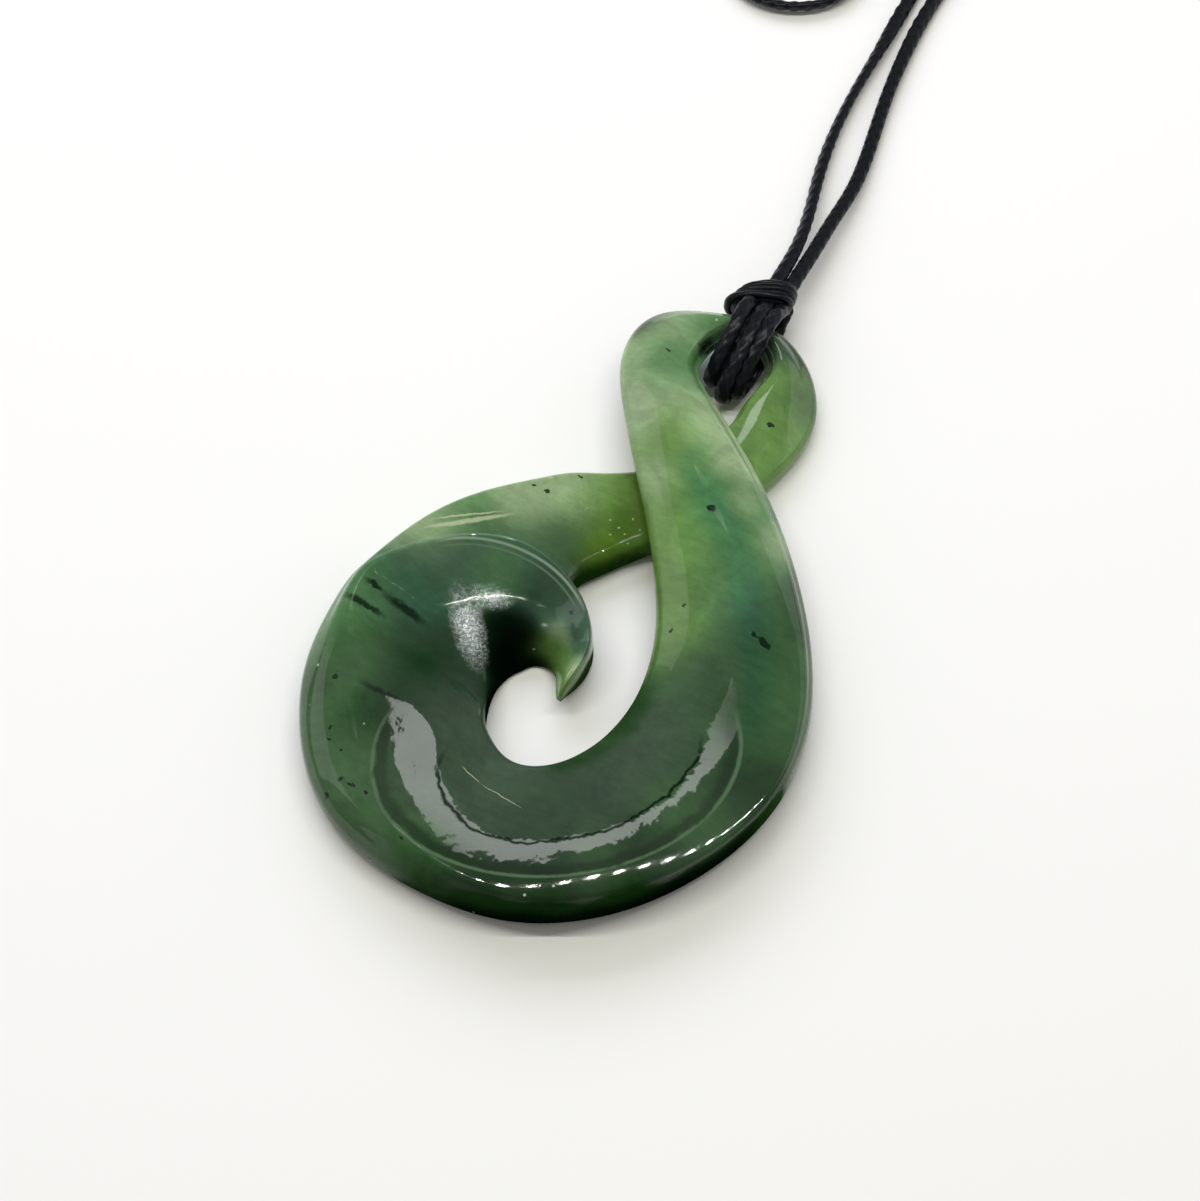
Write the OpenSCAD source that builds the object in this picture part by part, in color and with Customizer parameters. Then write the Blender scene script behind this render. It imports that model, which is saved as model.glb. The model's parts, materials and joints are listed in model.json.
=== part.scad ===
/* [Stone] */
// Length of the stone, from the foot of the disc to the top of the cord loop
stone_l = 66.6; // [66:0.2:80]
// Greatest thickness of the stone, at the crossing
stone_t = 8; // [7.5:0.5:9]
// How far the left side bows out where the lower arm joins the disc
shoulder_bow = 2.1; // [1.8:0.1:2.4]

/* [Cord] */
// Diameter of the waxed cord, in the neck loop and in the three turns through the stone's hole
cord_d = 1.5; // [1.2:0.1:1.5]

/* [Binding] */
// Greatest width of the binding, across the turns
binding_w = 6.2; // [6:0.1:7]
// Thickness of the binding
binding_t = 4.4; // [4:0.1:5]
// Length of the binding along the cord
binding_l = 3; // [2.6:0.1:3.4]

/* [Knot] */
// Diameter of the knot that closes the neck cord
knot_d = 3.4; // [3:0.1:3.6]

/* [Hidden] */

// The band runs from the tip of the curl, round the disc, up over the crossing, round the
// cord loop and back under the crossing, and joins the disc again behind the curl's ridge.
// Each row is one section across the band, looking along it: left edge, crown line, then
// the width outside the crown, the heights of the section above the table, the rounding of
// its top edges, and the height at which its top is cut flat.
LX = 0;
LY = 1;
CX = 2;
CY = 3;
OUT = 4;
ZB = 5;
ZL = 6;
ZM = 7;
ZC = 8;
ZF = 9;
ZR = 10;
ER = 11;
ZT = 12;
BAND = [
    // left edge     crown      out  under left   mid crown foot right round cut
    [  0.6, -11.7,   1.1, -11.8,  0.2,  2.0,  2.7,   3.2,   3.3,  3.0,  2.7,  0.3,   9.0],
    [  0.0, -10.5,   1.2, -11.0,  0.2,  1.7,  2.1,   3.6,   4.2,  3.7,  2.9,  0.4,   9.0],
    [ -0.6,  -9.5,   1.6,  -9.6,  0.2,  1.2,  1.5,   3.9,   5.0,  4.4,  3.1,  0.5,   9.0],
    [ -1.6,  -8.8,   1.7,  -7.3,  0.2,  0.6,  1.1,   3.7,   5.6,  4.8,  3.2,  0.6,   7.0],
    [ -2.6,  -8.8,   0.8,  -5.2,  0.3,  0.1,  0.9,   4.0,   6.0,  5.0,  3.4,  0.7,   5.6],
    [ -3.4,  -9.2,  -1.0,  -3.2,  0.3,  0.0,  0.9,   4.9,   6.2,  4.6,  3.4,  0.8,   4.5],
    [ -3.8,  -9.9,  -3.6,  -1.7,  0.3,  0.0,  0.9,   5.6,   6.4,  3.9,  3.4,  0.8,  4.15],
    [ -4.5, -10.8,  -7.4,  -0.5,  0.3,  0.0,  1.0,   5.8,   6.5,  4.0,  3.4,  0.8,  3.95],
    [ -4.8, -11.9, -11.1,  -1.0,  0.3,  0.0,  1.2,   6.2,   6.5,  4.2,  3.4,  0.8,  3.85],
    [ -4.9, -13.2, -14.6,  -2.8,  0.3,  0.0,  2.6,   6.6,   6.5,  4.7,  3.4,  0.8,   3.8],
    [ -4.6, -14.9, -17.6,  -5.5,  0.3,  0.0,  3.9,   6.4,   6.4,  5.3,  3.8,  0.8,   3.8],
    [ -4.1, -16.3, -20.0,  -9.0,  2.0,  0.0,  4.3,   6.3,   6.3,  5.8,  4.4,  0.9,   4.3],
    [ -3.4, -17.5, -19.7, -13.6,  2.4,  0.0,  4.5,   6.2,   6.2,  5.9,  4.4,  1.0,   5.5],
    [ -2.4, -18.4, -17.4, -18.9,  4.0,  0.0,  4.6,   6.5,   5.9,  5.7,  4.4,  1.0,  6.45],
    [ -1.4, -19.1, -13.6, -23.8,  4.9,  0.0,  4.8,   6.8,   5.7,  5.5,  4.4,  1.0,  6.45],
    [ -0.3, -19.6,  -9.1, -28.7,  4.0,  0.0,  4.9,  6.55,  5.95,  5.7,  4.5,  1.0,  6.45],
    [  1.2, -19.7,  -2.1, -31.8,  1.7,  0.0,  4.9,  6.31,  6.35,  6.0,  4.9,  1.0,  6.45],
    [  3.1, -18.9,   6.4, -32.0,  0.6,  0.0,  4.9,  6.32,  6.28,  6.0,  5.1,  1.0,  6.45],
    [  5.1, -16.9,  14.3, -27.4,  0.4,  0.0,  4.9,  6.36,  6.08,  5.8,  5.1,  1.1,  6.45],
    [  6.6, -13.7,  19.8, -20.4,  0.3,  0.0,  4.7,  6.13,   5.8,  5.5,  5.0,  1.2,  6.45],
    [  7.2,  -9.9,  22.6, -12.3,  0.4,  0.0,  4.6,  6.06,  5.45,  5.2,  4.8,  1.4,  6.45],
    [  6.9,  -5.9,  21.3,  -3.6,  1.1,  0.0,  4.6,   6.3,   5.5,  5.2,  4.5,  1.5,   6.8],
    [  5.4,  -0.8,  16.4,   5.2,  1.3,  0.9,  5.0,   7.0,   6.0,  5.6,  4.6,  1.5,   9.0],
    [  1.6,   5.5,  10.2,  12.0,  1.4,  3.2,  6.0,   7.8,   6.7,  6.3,  5.6,  1.3,   9.0],
    [ -2.8,  11.2,   3.6,  17.6,  1.4,  4.1,  6.4,   8.0,   6.9,  6.5,  5.8,  1.2,   9.0],
    [ -6.7,  16.7,  -2.0,  22.0,  1.1,  3.8,  6.2,   7.6,   6.7,  6.3,  5.4,  1.2,   9.0],
    [-10.2,  22.6,  -3.9,  24.8,  1.1,  3.3,  5.5,   6.7,   6.0,  5.5,  4.6,  1.2,   9.0],
    [ -9.9,  28.7,  -3.6,  28.6,  1.1,  2.6,  4.8,   5.6,   5.1,  4.6,  3.8,  1.1,   9.0],
    [ -5.2,  31.6,  -2.5,  30.6,  1.1,  2.2,  4.3,   5.0,   4.7,  4.2,  3.4,  0.9,   9.0],
    [ -1.0,  33.0,  -0.4,  31.1,  1.1,  2.1,  4.1,   4.8,   4.6,  4.1,  3.2,  0.8,   9.0],
    [  3.3,  32.6,   2.1,  30.8,  1.1,  2.0,  3.9,   4.6,   4.5,  4.0,  3.0,  0.9,   9.0],
    [  7.2,  30.0,   3.9,  28.3,  1.0,  1.2,  3.3,   4.3,   4.3,  3.9,  2.7,  1.1,   9.0],
    [  9.4,  25.7,   3.0,  24.7,  1.0,  0.2,  2.6,   4.0,   4.1,  3.8,  2.6,  1.1,   9.0],
    [  8.9,  19.7,   3.1,  21.7,  1.0,  0.0,  3.0,   3.7,   3.8,  3.4,  2.4,  0.8,   9.0],
    [  5.9,  12.0,   0.9,  16.7,  1.2,  0.0,  3.0,   3.5,   3.4,  3.0,  2.4,  0.8,   9.0],
    [  2.1,   7.3,  -2.7,  12.4,  1.1,  0.0,  3.0,   3.5,   3.4,  3.0,  2.4,  0.8,   9.0],
    [ -2.2,   1.5,  -7.9,   9.7,  1.1,  0.0,  3.1,   3.7,   3.6,  3.2,  2.5,  0.8,   9.0]
];
last_row = len(BAND) - 1;
// Row where the lower arm's inner edge meets the curl, and row where its outer edge leaves the disc
crotch_row = 6;
split_row = 11;
disc_end_row = 22;

// Points round one section: 0 to 6 climb the left side, 15 is the crown, 16 its foot, and
// 16 to 22 go down the right side to the back
ring_n = 32;
left_top = 6;
crown_pt = 15;
foot_pt = 16;
heel_pt = 22;
side_n = heel_pt - foot_pt;
back_n = ring_n - heel_pt;
// Sections between the last row and the disc, fanned round the crotch
fan_n = 10;

function clamp(v, lo, hi) = max(lo, min(v, hi));

// A row's control value, set so that the curve passes through the value in the table
function row_value(i, c, lo) = BAND[clamp(i, lo, last_row)][c];
function control(i, c, lo) =
    i < lo ? 2 * control(lo, c, lo) - control(lo + 1, c, lo)
    : i > last_row ? 2 * control(last_row, c, lo) - control(last_row - 1, c, lo)
    : row_value(i, c, lo)
        - (row_value(i - 1, c, lo) - 2 * row_value(i, c, lo) + row_value(i + 1, c, lo)) / 6;

// Cubic B-spline weights
function spline_w(f) = [
    (1 - f)^3 / 6,
    (3 * f^3 - 6 * f^2 + 4) / 6,
    (-3 * f^3 + 3 * f^2 + 3 * f + 1) / 6,
    f^3 / 6
];
function smooth_value(u, c, lo) =
    let (i = min(floor(u), last_row - 1), w = spline_w(u - i))
    w[0] * control(i - 1, c, lo) + w[1] * control(i, c, lo)
        + w[2] * control(i + 1, c, lo) + w[3] * control(i + 2, c, lo);
// Outside the crown the curl has only a thin skirt, and the disc starts afresh at the split
function band_value(u, c) =
    c == ZB ? max(smooth_value(u, c, 0), 0)
    : c != OUT ? smooth_value(u, c, 0)
    : u < split_row ? BAND[clamp(round(u), 0, split_row - 1)][OUT]
    : smooth_value(u, c, split_row);

// Height across the top at share s from the left edge to the crown: a curve cut flat at zt.
// Where the crown stands above the cut, the cut dips towards the left edge, and a straight lip
// climbs to the crown from the shelf's end.
shelf_end = 0.6;
shelf_dip = 0.5;
function top_z(s, zl, bulge, zc, zt) =
    let (
        cut = zc > zt ? zt - shelf_dip * max(shelf_end - s, 0) : zt,
        z = min((1 - s)^2 * zl + 2 * s * (1 - s) * bulge + s^2 * zc, cut)
    )
    s > shelf_end && zc > zt ? max(z, zc - (zc - zt) * (1 - s) / (1 - shelf_end)) : z;

// One section as [distance across, height] points. e and q round the two top edges, b rounds
// the back's edges, bulge carries the middle height, and foot is where the crown's roll ends.
// Points across the top crowd towards the crown, to keep its crest crisp.
crowding = 1.5;
function section(w, crown, out, zb, zl, zm, zc, zf, zr, er, zt) =
    let (
        e = min(er, 0.35 * crown, 0.45 * (zl - zb)),
        b = min(0.7, 0.2 * w, 0.3 * (zl - zb)),
        bulge = 2 * zm - (zl + zc) / 2,
        foot = crown + max(min(0.3 * out, 1), min(out, 0.2)),
        q = min(er, 0.7 * (w - foot)) + 0.01,
        wall = zb + b,
        top_n = crown_pt - left_top
    )
    concat(
        [[b, zb], [0.3 * b, zb + 0.3 * b], [0, wall], [0, (wall + zl - e) / 2],
         [0, zl - e], [0.3 * e, zl - 0.3 * e]],
        [for (k = [0:top_n]) let (s = 1 - (1 - k / top_n)^crowding)
            [e + (crown - e) * s, top_z(s, zl, bulge, zc, zt)]],
        [[foot, zf], [(foot + w - q) / 2, (zf + zr) / 2 + 0.12 * (w - foot)], [w - q, zr],
         [w - 0.3 * q, zr - 0.3 * q - 0.1 * (zr - wall)], [w, (zr + wall) / 2], [w, wall]],
        [for (k = [0:back_n - 1]) [w - b - (w - 2 * b) * k / back_n, zb]]
    );

function ring(u) =
    let (
        v = [for (c = [0:ZT]) band_value(u, c)],
        crown = norm([v[CX] - v[LX], v[CY] - v[LY]]),
        a = [v[CX] - v[LX], v[CY] - v[LY]] / crown
    )
    [for (p = section(crown + v[OUT], crown, v[OUT], v[ZB], v[ZL], v[ZM], v[ZC], v[ZF], v[ZR],
                      v[ER], v[ZT]))
        [v[LX] + a[0] * p[0], v[LY] + a[1] * p[0], p[1]]];

// Sections a row: two along the curl, four round the disc and three up the arms
function row_steps(i) = i < split_row ? 2 : i < disc_end_row ? 4 : 3;
ring_at = concat(
    [for (i = [0:last_row - 1]) for (k = [0:row_steps(i) - 1]) i + k / row_steps(i)],
    [last_row]
);
rings = [for (u = ring_at) ring(u)];
rings_n = len(rings);
crotch_i = crotch_row * 2;
split_i = split_row * 2;

// The lower arm ends on this loop of the disc's own points, [ring, point]
port = concat(
    [for (k = [0:side_n - 1]) [crotch_i, heel_pt - k]],
    [for (i = [crotch_i:split_i - 1]) [i, foot_pt]],
    [for (k = [0:side_n - 1]) [split_i, foot_pt + k]],
    [for (i = [split_i:-1:crotch_i + 1]) [i, heel_pt]]
);
arm_end = [for (p = port) rings[p[0]][p[1]]];
arm_start = rings[rings_n - 1];
// 1 along the arm's outer side and 0 along its inner side
function outer_share(k) =
    k < left_top ? 0
    : k <= foot_pt ? (k - left_top) / (foot_pt - left_top)
    : k <= heel_pt ? 1
    : 1 - (k - heel_pt) / back_n;
shoulder = arm_end[heel_pt] - arm_start[heel_pt];
shoulder_out = [shoulder[1], -shoulder[0], 0] / norm([shoulder[0], shoulder[1]]);
fan = [for (f = [1:fan_n - 1]) let (t = f / fan_n)
    [for (k = [0:ring_n - 1])
        arm_start[k] * (1 - t) + arm_end[k] * t
            + shoulder_out * sin(180 * t^1.1) * shoulder_bow * outer_share(k)]];

tip_centre = [for (d = [0:2]) [for (p = rings[0]) p[d]] * [for (p = rings[0]) 1] / ring_n];
drawn = concat([for (r = rings) each r], [for (r = fan) each r], [tip_centre]);
tip_i = len(drawn) - 1;
function point_i(i, k) = i * ring_n + k % ring_n;
function port_i(k) = let (p = port[k % ring_n]) point_i(p[0], p[1]);
arm_rings_n = rings_n + fan_n - 1;
in_port = function (i, k) i >= crotch_i && i < split_i && k >= foot_pt && k < heel_pt;
stone_faces = concat(
    [for (i = [0:rings_n - 2]) for (k = [0:ring_n - 1]) if (!in_port(i, k))
        [point_i(i, k), point_i(i + 1, k), point_i(i + 1, k + 1), point_i(i, k + 1)]],
    [for (i = [rings_n - 1:arm_rings_n - 2]) for (k = [0:ring_n - 1])
        [point_i(i, k), point_i(i + 1, k), point_i(i + 1, k + 1), point_i(i, k + 1)]],
    [for (k = [0:ring_n - 1])
        [point_i(arm_rings_n - 1, k), port_i(k), port_i(k + 1), point_i(arm_rings_n - 1, k + 1)]],
    [for (k = [0:ring_n - 1]) [tip_i, point_i(0, k), point_i(0, k + 1)]]
);

// The drawing is set to the chosen length and thickness, over the middle of its own box
low = [for (d = [0:2]) min([for (p = drawn) p[d]])];
high = [for (d = [0:2]) max([for (p = drawn) p[d]])];
plan_k = stone_l / (high[1] - low[1]);
height_k = stone_t / (high[2] - low[2]);
stone_pts = [for (p = drawn) [
    (p[0] - (low[0] + high[0]) / 2) * plan_k,
    (p[1] - (low[1] + high[1]) / 2) * plan_k,
    (p[2] - low[2]) * height_k
]];

// Sections joined into one solid, with flat ends
function loft_faces(n, m) = concat(
    [for (i = [0:n - 2]) for (k = [0:m - 1])
        [i * m + k, (i + 1) * m + k, (i + 1) * m + (k + 1) % m, i * m + (k + 1) % m]],
    [for (k = [0:m / 2 - 2]) [k, k + 1, m - 2 - k, m - 1 - k]],
    [for (k = [0:m / 2 - 2]) let (e = (n - 1) * m) [e + m - 1 - k, e + m - 2 - k, e + k + 1, e + k]]
);
module loft(sections)
    polyhedron(
        points = [for (s = sections) each s],
        faces = loft_faces(len(sections), len(sections[0])),
        convexity = 6
    );

// The same spline along a cord's route, which is a list of points chosen by hand
function route_control(r, i) =
    let (n = len(r) - 1)
    i < 0 ? 2 * route_control(r, 0) - route_control(r, 1)
    : i > n ? 2 * route_control(r, n) - route_control(r, n - 1)
    : i == 0 || i == n ? r[i]
    : r[i] - (r[i - 1] - 2 * r[i] + r[i + 1]) / 6;
function route_point(r, u) =
    let (i = min(floor(u), len(r) - 2), w = spline_w(u - i))
    w[0] * route_control(r, i - 1) + w[1] * route_control(r, i)
        + w[2] * route_control(r, i + 1) + w[3] * route_control(r, i + 2);
function route_dir(r, u) =
    let (n = len(r) - 1, d = route_point(r, min(u + 0.05, n)) - route_point(r, max(u - 0.05, 0)))
    u == 0 || u == n ? [0, sign(d[1]), 0] : d / norm(d);
// Sections of n_rings along a route; each outline point is [aside, up]
function sweep(r, n_rings, outline) =
    [for (i = [0:n_rings - 1])
        let (
            u = i * (len(r) - 1) / (n_rings - 1),
            d = route_dir(r, u),
            aside = cross(d, [0, 0, 1]) / norm(cross(d, [0, 0, 1])),
            up = cross(aside, d)
        )
        [for (p = outline) route_point(r, u) + aside * p[0] + up * p[1]]];

// Everything on the cord follows the top of the stone when the stone's length changes
top_y = stone_l / 2;
drawn_top_y = 33.08;
cord_shift = [-0.52, top_y - drawn_top_y, 0];
// and the turns keep their distance from its two faces when its thickness changes
drawn_t = 8;
lift = stone_t / drawn_t;
table_cord_z = 0.9;
function lifted(z) = table_cord_z + (z - table_cord_z) * lift;

// The binding's faces lean: its left side is nearer the stone than its right side
bind_y = 34.1;
bind_lean = 0.42;
bind_mid_x = -1.15;
function on_face(p, s) = [p[0], bind_y + binding_l * s + bind_lean * (p[0] - bind_mid_x), p[2]];

module greenstone() {
    color([0.22, 0.45, 0.25])
        polyhedron(points = stone_pts, faces = stone_faces, convexity = 10);
}

// Three turns of cord side by side, over the stone's top edge and down through its hole:
// the middle of the flat bundle, from the binding's front to its back
TURN_PATH = [
    [0, 34.6, 4.5], [0, 33.5, 5.4], [0, 32.2, 5.95], [0, 30.8, 6.0], [0, 29.2, 5.7],
    [-0.1, 27.7, 5.0], [-0.2, 26.4, 4.1], [-0.3, 25.5, 3.1], [-0.3, 25.2, 2.1],
    [-0.3, 25.9, 1.25], [-0.2, 27.3, 0.9], [-0.1, 29.0, 0.9], [0, 30.8, 0.95],
    [0, 32.4, 1.1], [0, 33.6, 1.6], [0, 34.6, 2.3]
];
lifted_path = [for (p = TURN_PATH) [p[0], p[1], lifted(p[2])]];
turn_gap = 0.1;
lobe_x = [-1, 0, 1] * (cord_d + turn_gap);
lobe_step = 30;
turn_outline = concat(
    [for (x = lobe_x) for (a = [150:-lobe_step:30]) cord_d / 2 * [cos(a), sin(a)] + [x, 0]],
    [for (k = [2:-1:0]) for (a = [-30:-lobe_step:-150])
        cord_d / 2 * [cos(a), sin(a)] + [lobe_x[k], 0]]
);
turn_rings = 28;
// The bundle turns about x, so each section keeps its width along x. The ones near the
// binding lean with its face.
lean_rings = 6;
function turn_section(i) =
    let (
        u = i * (len(lifted_path) - 1) / (turn_rings - 1),
        d = route_dir(lifted_path, u),
        up = [0, -d[2], d[1]] / norm([d[1], d[2]]),
        from_end = min(i, turn_rings - 1 - i),
        lean = bind_lean * max(0, 1 - from_end / lean_rings)
    )
    [for (p = turn_outline) route_point(lifted_path, u) + [p[0], lean * p[0], 0] + up * p[1]];
module hole_turns() {
    inner = [for (i = [1:turn_rings - 2]) turn_section(i)];
    front = [for (p = turn_section(0)) on_face(p, 0)];
    back = [for (p = turn_section(turn_rings - 1)) on_face(p, 0)];
    color([0.06, 0.06, 0.07]) translate(cord_shift) loft(concat([front], inner, [back]));
}

// Thread wound round the turns and the two ends of the neck cord, just above the stone:
// middle, half width and half thickness, from the turns to the neck cord, each a share
BIND_SHAPE = [[-0.12, 0.98, 0.92], [-0.17, 1, 1], [-0.11, 0.82, 0.97], [-0.05, 0.66, 0.8]];
bind_z = lifted(3.4);
bind_sides = 24;
bind_rings = 7;
bind_squareness = 0.75;
function square_round(v) = sign(v) * abs(v)^bind_squareness;
function bind_section(s) =
    let (b = route_point(BIND_SHAPE, s * (len(BIND_SHAPE) - 1)))
    [for (j = [0:bind_sides - 1])
        let (a = -360 * j / bind_sides)
        on_face([
            binding_w * b[0] + binding_w / 2 * b[1] * square_round(cos(a)), 0,
            bind_z + binding_t / 2 * b[2] * square_round(sin(a))
        ], s)];
module binding() {
    color([0.05, 0.05, 0.06])
        translate(cord_shift)
            loft([for (i = [0:bind_rings - 1]) bind_section(i / (bind_rings - 1))]);
}

// Routes of the two halves of the neck cord, from the binding to the knot
LEFT_ROUTE = [
    [-0.7, 37.2, 3.4], [-0.7, 40.5, 3.1], [-0.9, 44, 2.6], [-1.7, 48.5, 1.8], [-2.8, 53, 1.2],
    [-3.9, 59, 0.85], [-4.3, 66, 0.85], [-4.2, 73, 0.85], [-4.2, 80, 0.85], [-3.6, 92, 0.85],
    [-2, 104, 0.85], [0, 116, 0.85], [0.5, 128, 0.85], [-1.5, 141, 0.85], [-9, 148, 0.85],
    [-16.5, 141, 0.85], [-17.5, 128, 0.85], [-15.5, 116, 0.85], [-12.5, 104, 0.85], [-10.6, 94, 0.85],
    [-10, 86, 0.85], [-10.2, 80.5, 0.85], [-11.6, 76.2, 0.85], [-14.7, 73.7, 0.85], [-18.5, 72.8, 0.85],
    [-23, 74.4, 0.85], [-26, 78.6, 0.85], [-27.4, 85, 0.85], [-28, 92, 1.4], [-28, 97, 1.8]
];
RIGHT_ROUTE = [
    [0.85, 38.0, 3.4], [0.85, 40.5, 3.1], [0.9, 44, 2.6], [0.8, 48.8, 1.9], [0.9, 54, 1.3],
    [0.1, 60, 0.85], [-1, 66.5, 0.85], [-1.6, 73, 0.85], [-1.8, 80, 0.85], [-0.6, 92, 0.85],
    [3, 104, 0.85], [7.5, 116, 0.85], [11.5, 128, 0.85], [12.5, 141, 0.85], [7.5, 153, 0.85],
    [-3, 159.2, 0.85], [-15.5, 159.5, 0.85], [-26.5, 154.2, 0.85], [-33, 143, 0.85], [-34.8, 130, 0.85],
    [-32.6, 117, 0.85], [-29, 108, 1.4], [-28, 103, 1.8]
];
left_rings = 43;
right_rings = 36;
cord_sides = 8;
cord_outline = [for (k = [0:cord_sides - 1]) let (a = -360 * (k + 0.5) / cord_sides)
    cord_d / 2 * [cos(a), sin(a)]];
module neck_cord(route, n_rings) {
    swept = sweep(route, n_rings, cord_outline);
    start = [for (p = swept[0]) on_face(p, 1)];
    rest = [for (i = [1:n_rings - 1]) swept[i]];
    color([0.07, 0.07, 0.08]) translate(cord_shift) loft(concat([start], rest));
}
module neck_cord_left() neck_cord(LEFT_ROUTE, left_rings);
module neck_cord_right() neck_cord(RIGHT_ROUTE, right_rings);

// Plain knot that closes the loop. It lies along the cord, between the ends of its two halves.
module back_knot() {
    start = LEFT_ROUTE[len(LEFT_ROUTE) - 1];
    end = RIGHT_ROUTE[len(RIGHT_ROUTE) - 1];
    knot_l = end[1] - start[1];
    r = knot_d / 2;
    shoulder_r = 0.75 * r;
    shoulder_l = 0.2 * knot_l;
    color([0.06, 0.06, 0.07])
        translate(start + cord_shift)
            rotate([-90, 0, 0])
                rotate_extrude($fn = 48)
                    polygon([
                        [0, 0], [shoulder_r, 0], [r, shoulder_l],
                        [r, knot_l - shoulder_l], [shoulder_r, knot_l], [0, knot_l]
                    ]);
}

greenstone();
hole_turns();
binding();
neck_cord_left();
neck_cord_right();
back_knot();
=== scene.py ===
"""A koru pendant carved from green stone, on a waxed neck cord, lying on a pale surface."""
import json
import math
import bmesh
import bpy
import numpy as np
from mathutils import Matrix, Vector

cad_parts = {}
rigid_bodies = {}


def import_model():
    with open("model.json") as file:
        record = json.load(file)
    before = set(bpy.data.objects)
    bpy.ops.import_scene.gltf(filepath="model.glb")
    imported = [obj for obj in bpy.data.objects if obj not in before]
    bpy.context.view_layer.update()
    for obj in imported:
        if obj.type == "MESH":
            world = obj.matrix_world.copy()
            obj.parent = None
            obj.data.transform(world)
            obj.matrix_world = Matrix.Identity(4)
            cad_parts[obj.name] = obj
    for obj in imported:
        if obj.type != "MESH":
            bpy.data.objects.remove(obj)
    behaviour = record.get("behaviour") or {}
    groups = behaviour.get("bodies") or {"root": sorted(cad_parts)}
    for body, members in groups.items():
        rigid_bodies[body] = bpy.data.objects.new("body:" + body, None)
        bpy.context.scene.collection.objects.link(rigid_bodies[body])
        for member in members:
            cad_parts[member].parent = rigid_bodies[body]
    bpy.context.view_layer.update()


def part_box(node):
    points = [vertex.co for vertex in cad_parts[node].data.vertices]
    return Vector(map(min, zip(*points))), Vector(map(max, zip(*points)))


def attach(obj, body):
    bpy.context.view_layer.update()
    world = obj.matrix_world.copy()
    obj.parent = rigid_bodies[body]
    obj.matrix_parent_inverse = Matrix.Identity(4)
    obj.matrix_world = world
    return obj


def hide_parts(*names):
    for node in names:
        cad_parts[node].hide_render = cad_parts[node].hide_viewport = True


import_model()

bl_info = {
    "name": "Greenstone koru pendant",
    "version": (1, 0, 0),
    "blender": (4, 5, 0),
    "location": "3D View > Sidebar > Pendant",
    "description": "Builds a carved greenstone koru pendant on its waxed neck cord",
    "category": "Object",
}

MM = 0.001
STONE_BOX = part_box("greenstone")

# Settings

def colour_setting(name, place, default):
    """A colour that the user can change."""
    return bpy.props.FloatVectorProperty(
        name=name, description="Colour of the " + place, subtype="COLOR", size=3, min=0, max=1,
        default=default)


class StoneSettings(bpy.types.PropertyGroup):
    """Smoothness and colours of the carved stone"""

    smoothing: bpy.props.IntProperty(
        name="Smoothing", description="Subdivision levels of the carved surface",
        default=2, min=1, max=2)
    # Painted shade in the hollow and on the walls
    painted_shade: colour_setting("Black", "shaded hollow and sides", (0.001, 0.004, 0.0015))
    deep: colour_setting("Deep green", "thick parts of the disc", (0.009, 0.036, 0.0125))
    smoke: colour_setting("Smoky green", "greyish parts", (0.041, 0.077, 0.044))
    teal: colour_setting("Teal", "cooler patches", (0.048, 0.125, 0.072))
    moss: colour_setting("Moss green", "rim and middle tones", (0.05, 0.12, 0.045))
    jade: colour_setting("Jade green", "bright, cool parts", (0.095, 0.235, 0.085))
    leaf: colour_setting("Leaf green", "thin, warm parts", (0.145, 0.285, 0.07))
    olive: colour_setting("Olive", "clear, yellowish parts", (0.075, 0.15, 0.014))
    # The stone's clear dark green, and painted shade on walls, in the hole and under the crossing arm
    bottle_and_shade: colour_setting("Bottle green", "clear, dark edges", (0.012, 0.045, 0.006))
    # The stone's milky patches, and painted sheen on the arms, the loop and the disc's rim
    milky_and_sheen: colour_setting("Pale green", "milky patches", (0.3, 0.42, 0.22))


class CordSettings(bpy.types.PropertyGroup):
    """Sizes and colour of the waxed cord"""

    width: bpy.props.FloatProperty(
        name="Width", description="Width of the flattened braid",
        default=1.6 * MM, min=1.2 * MM, max=1.7 * MM, unit="LENGTH")
    thickness: bpy.props.FloatProperty(
        name="Thickness", description="Thickness of the flattened braid",
        default=1.1 * MM, min=0.8 * MM, max=1.4 * MM, unit="LENGTH")
    thread: bpy.props.FloatProperty(
        name="Thread", description="Diameter of the binding's thread",
        default=0.7 * MM, min=0.5 * MM, max=0.8 * MM, unit="LENGTH")
    colour: colour_setting("Colour", "waxed cord and thread", (0.004, 0.004, 0.0055))


class StageSettings(bpy.types.PropertyGroup):
    """Surface, lights and camera"""

    floor: colour_setting("Surface", "surface under the pendant", (0.9, 0.9, 0.89))
    lens: bpy.props.FloatProperty(
        name="Lens", description="Focal length of the camera in millimetres",
        default=71.94, min=50, max=100, unit="CAMERA")


# Curves

def spline(rows, u, ends_exact=False):
    """Values at u on the cubic B-spline that passes through the rows."""
    rows = np.asarray(rows, float)
    near = np.vstack([rows[:1], rows, rows[-1:]])
    ctrl = rows - (near[:-2] - 2 * rows + near[2:]) / 6
    if ends_exact:
        ctrl[0], ctrl[-1] = rows[0], rows[-1]
    ctrl = np.vstack([2 * ctrl[0] - ctrl[1], ctrl, 2 * ctrl[-1] - ctrl[-2]])
    u = np.atleast_1d(np.asarray(u, float))
    i = np.minimum(np.floor(u).astype(int), len(rows) - 2)
    f = (u - i)[:, None]
    return ((1 - f) ** 3 / 6 * ctrl[i] + (3 * f ** 3 - 6 * f ** 2 + 4) / 6 * ctrl[i + 1]
            + (-3 * f ** 3 + 3 * f ** 2 + 3 * f + 1) / 6 * ctrl[i + 2] + f ** 3 / 6 * ctrl[i + 3])


def even_path(points, step):
    """The points of a fine polyline, laid again at even distances of about step."""
    points = np.asarray(points, float)
    run = np.concatenate([[0], np.cumsum(np.linalg.norm(np.diff(points, axis=0), axis=1))])
    at = np.linspace(0, run[-1], max(2, round(run[-1] / step) + 1))
    return np.stack([np.interp(at, run, points[:, k]) for k in range(3)], axis=1), at


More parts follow.
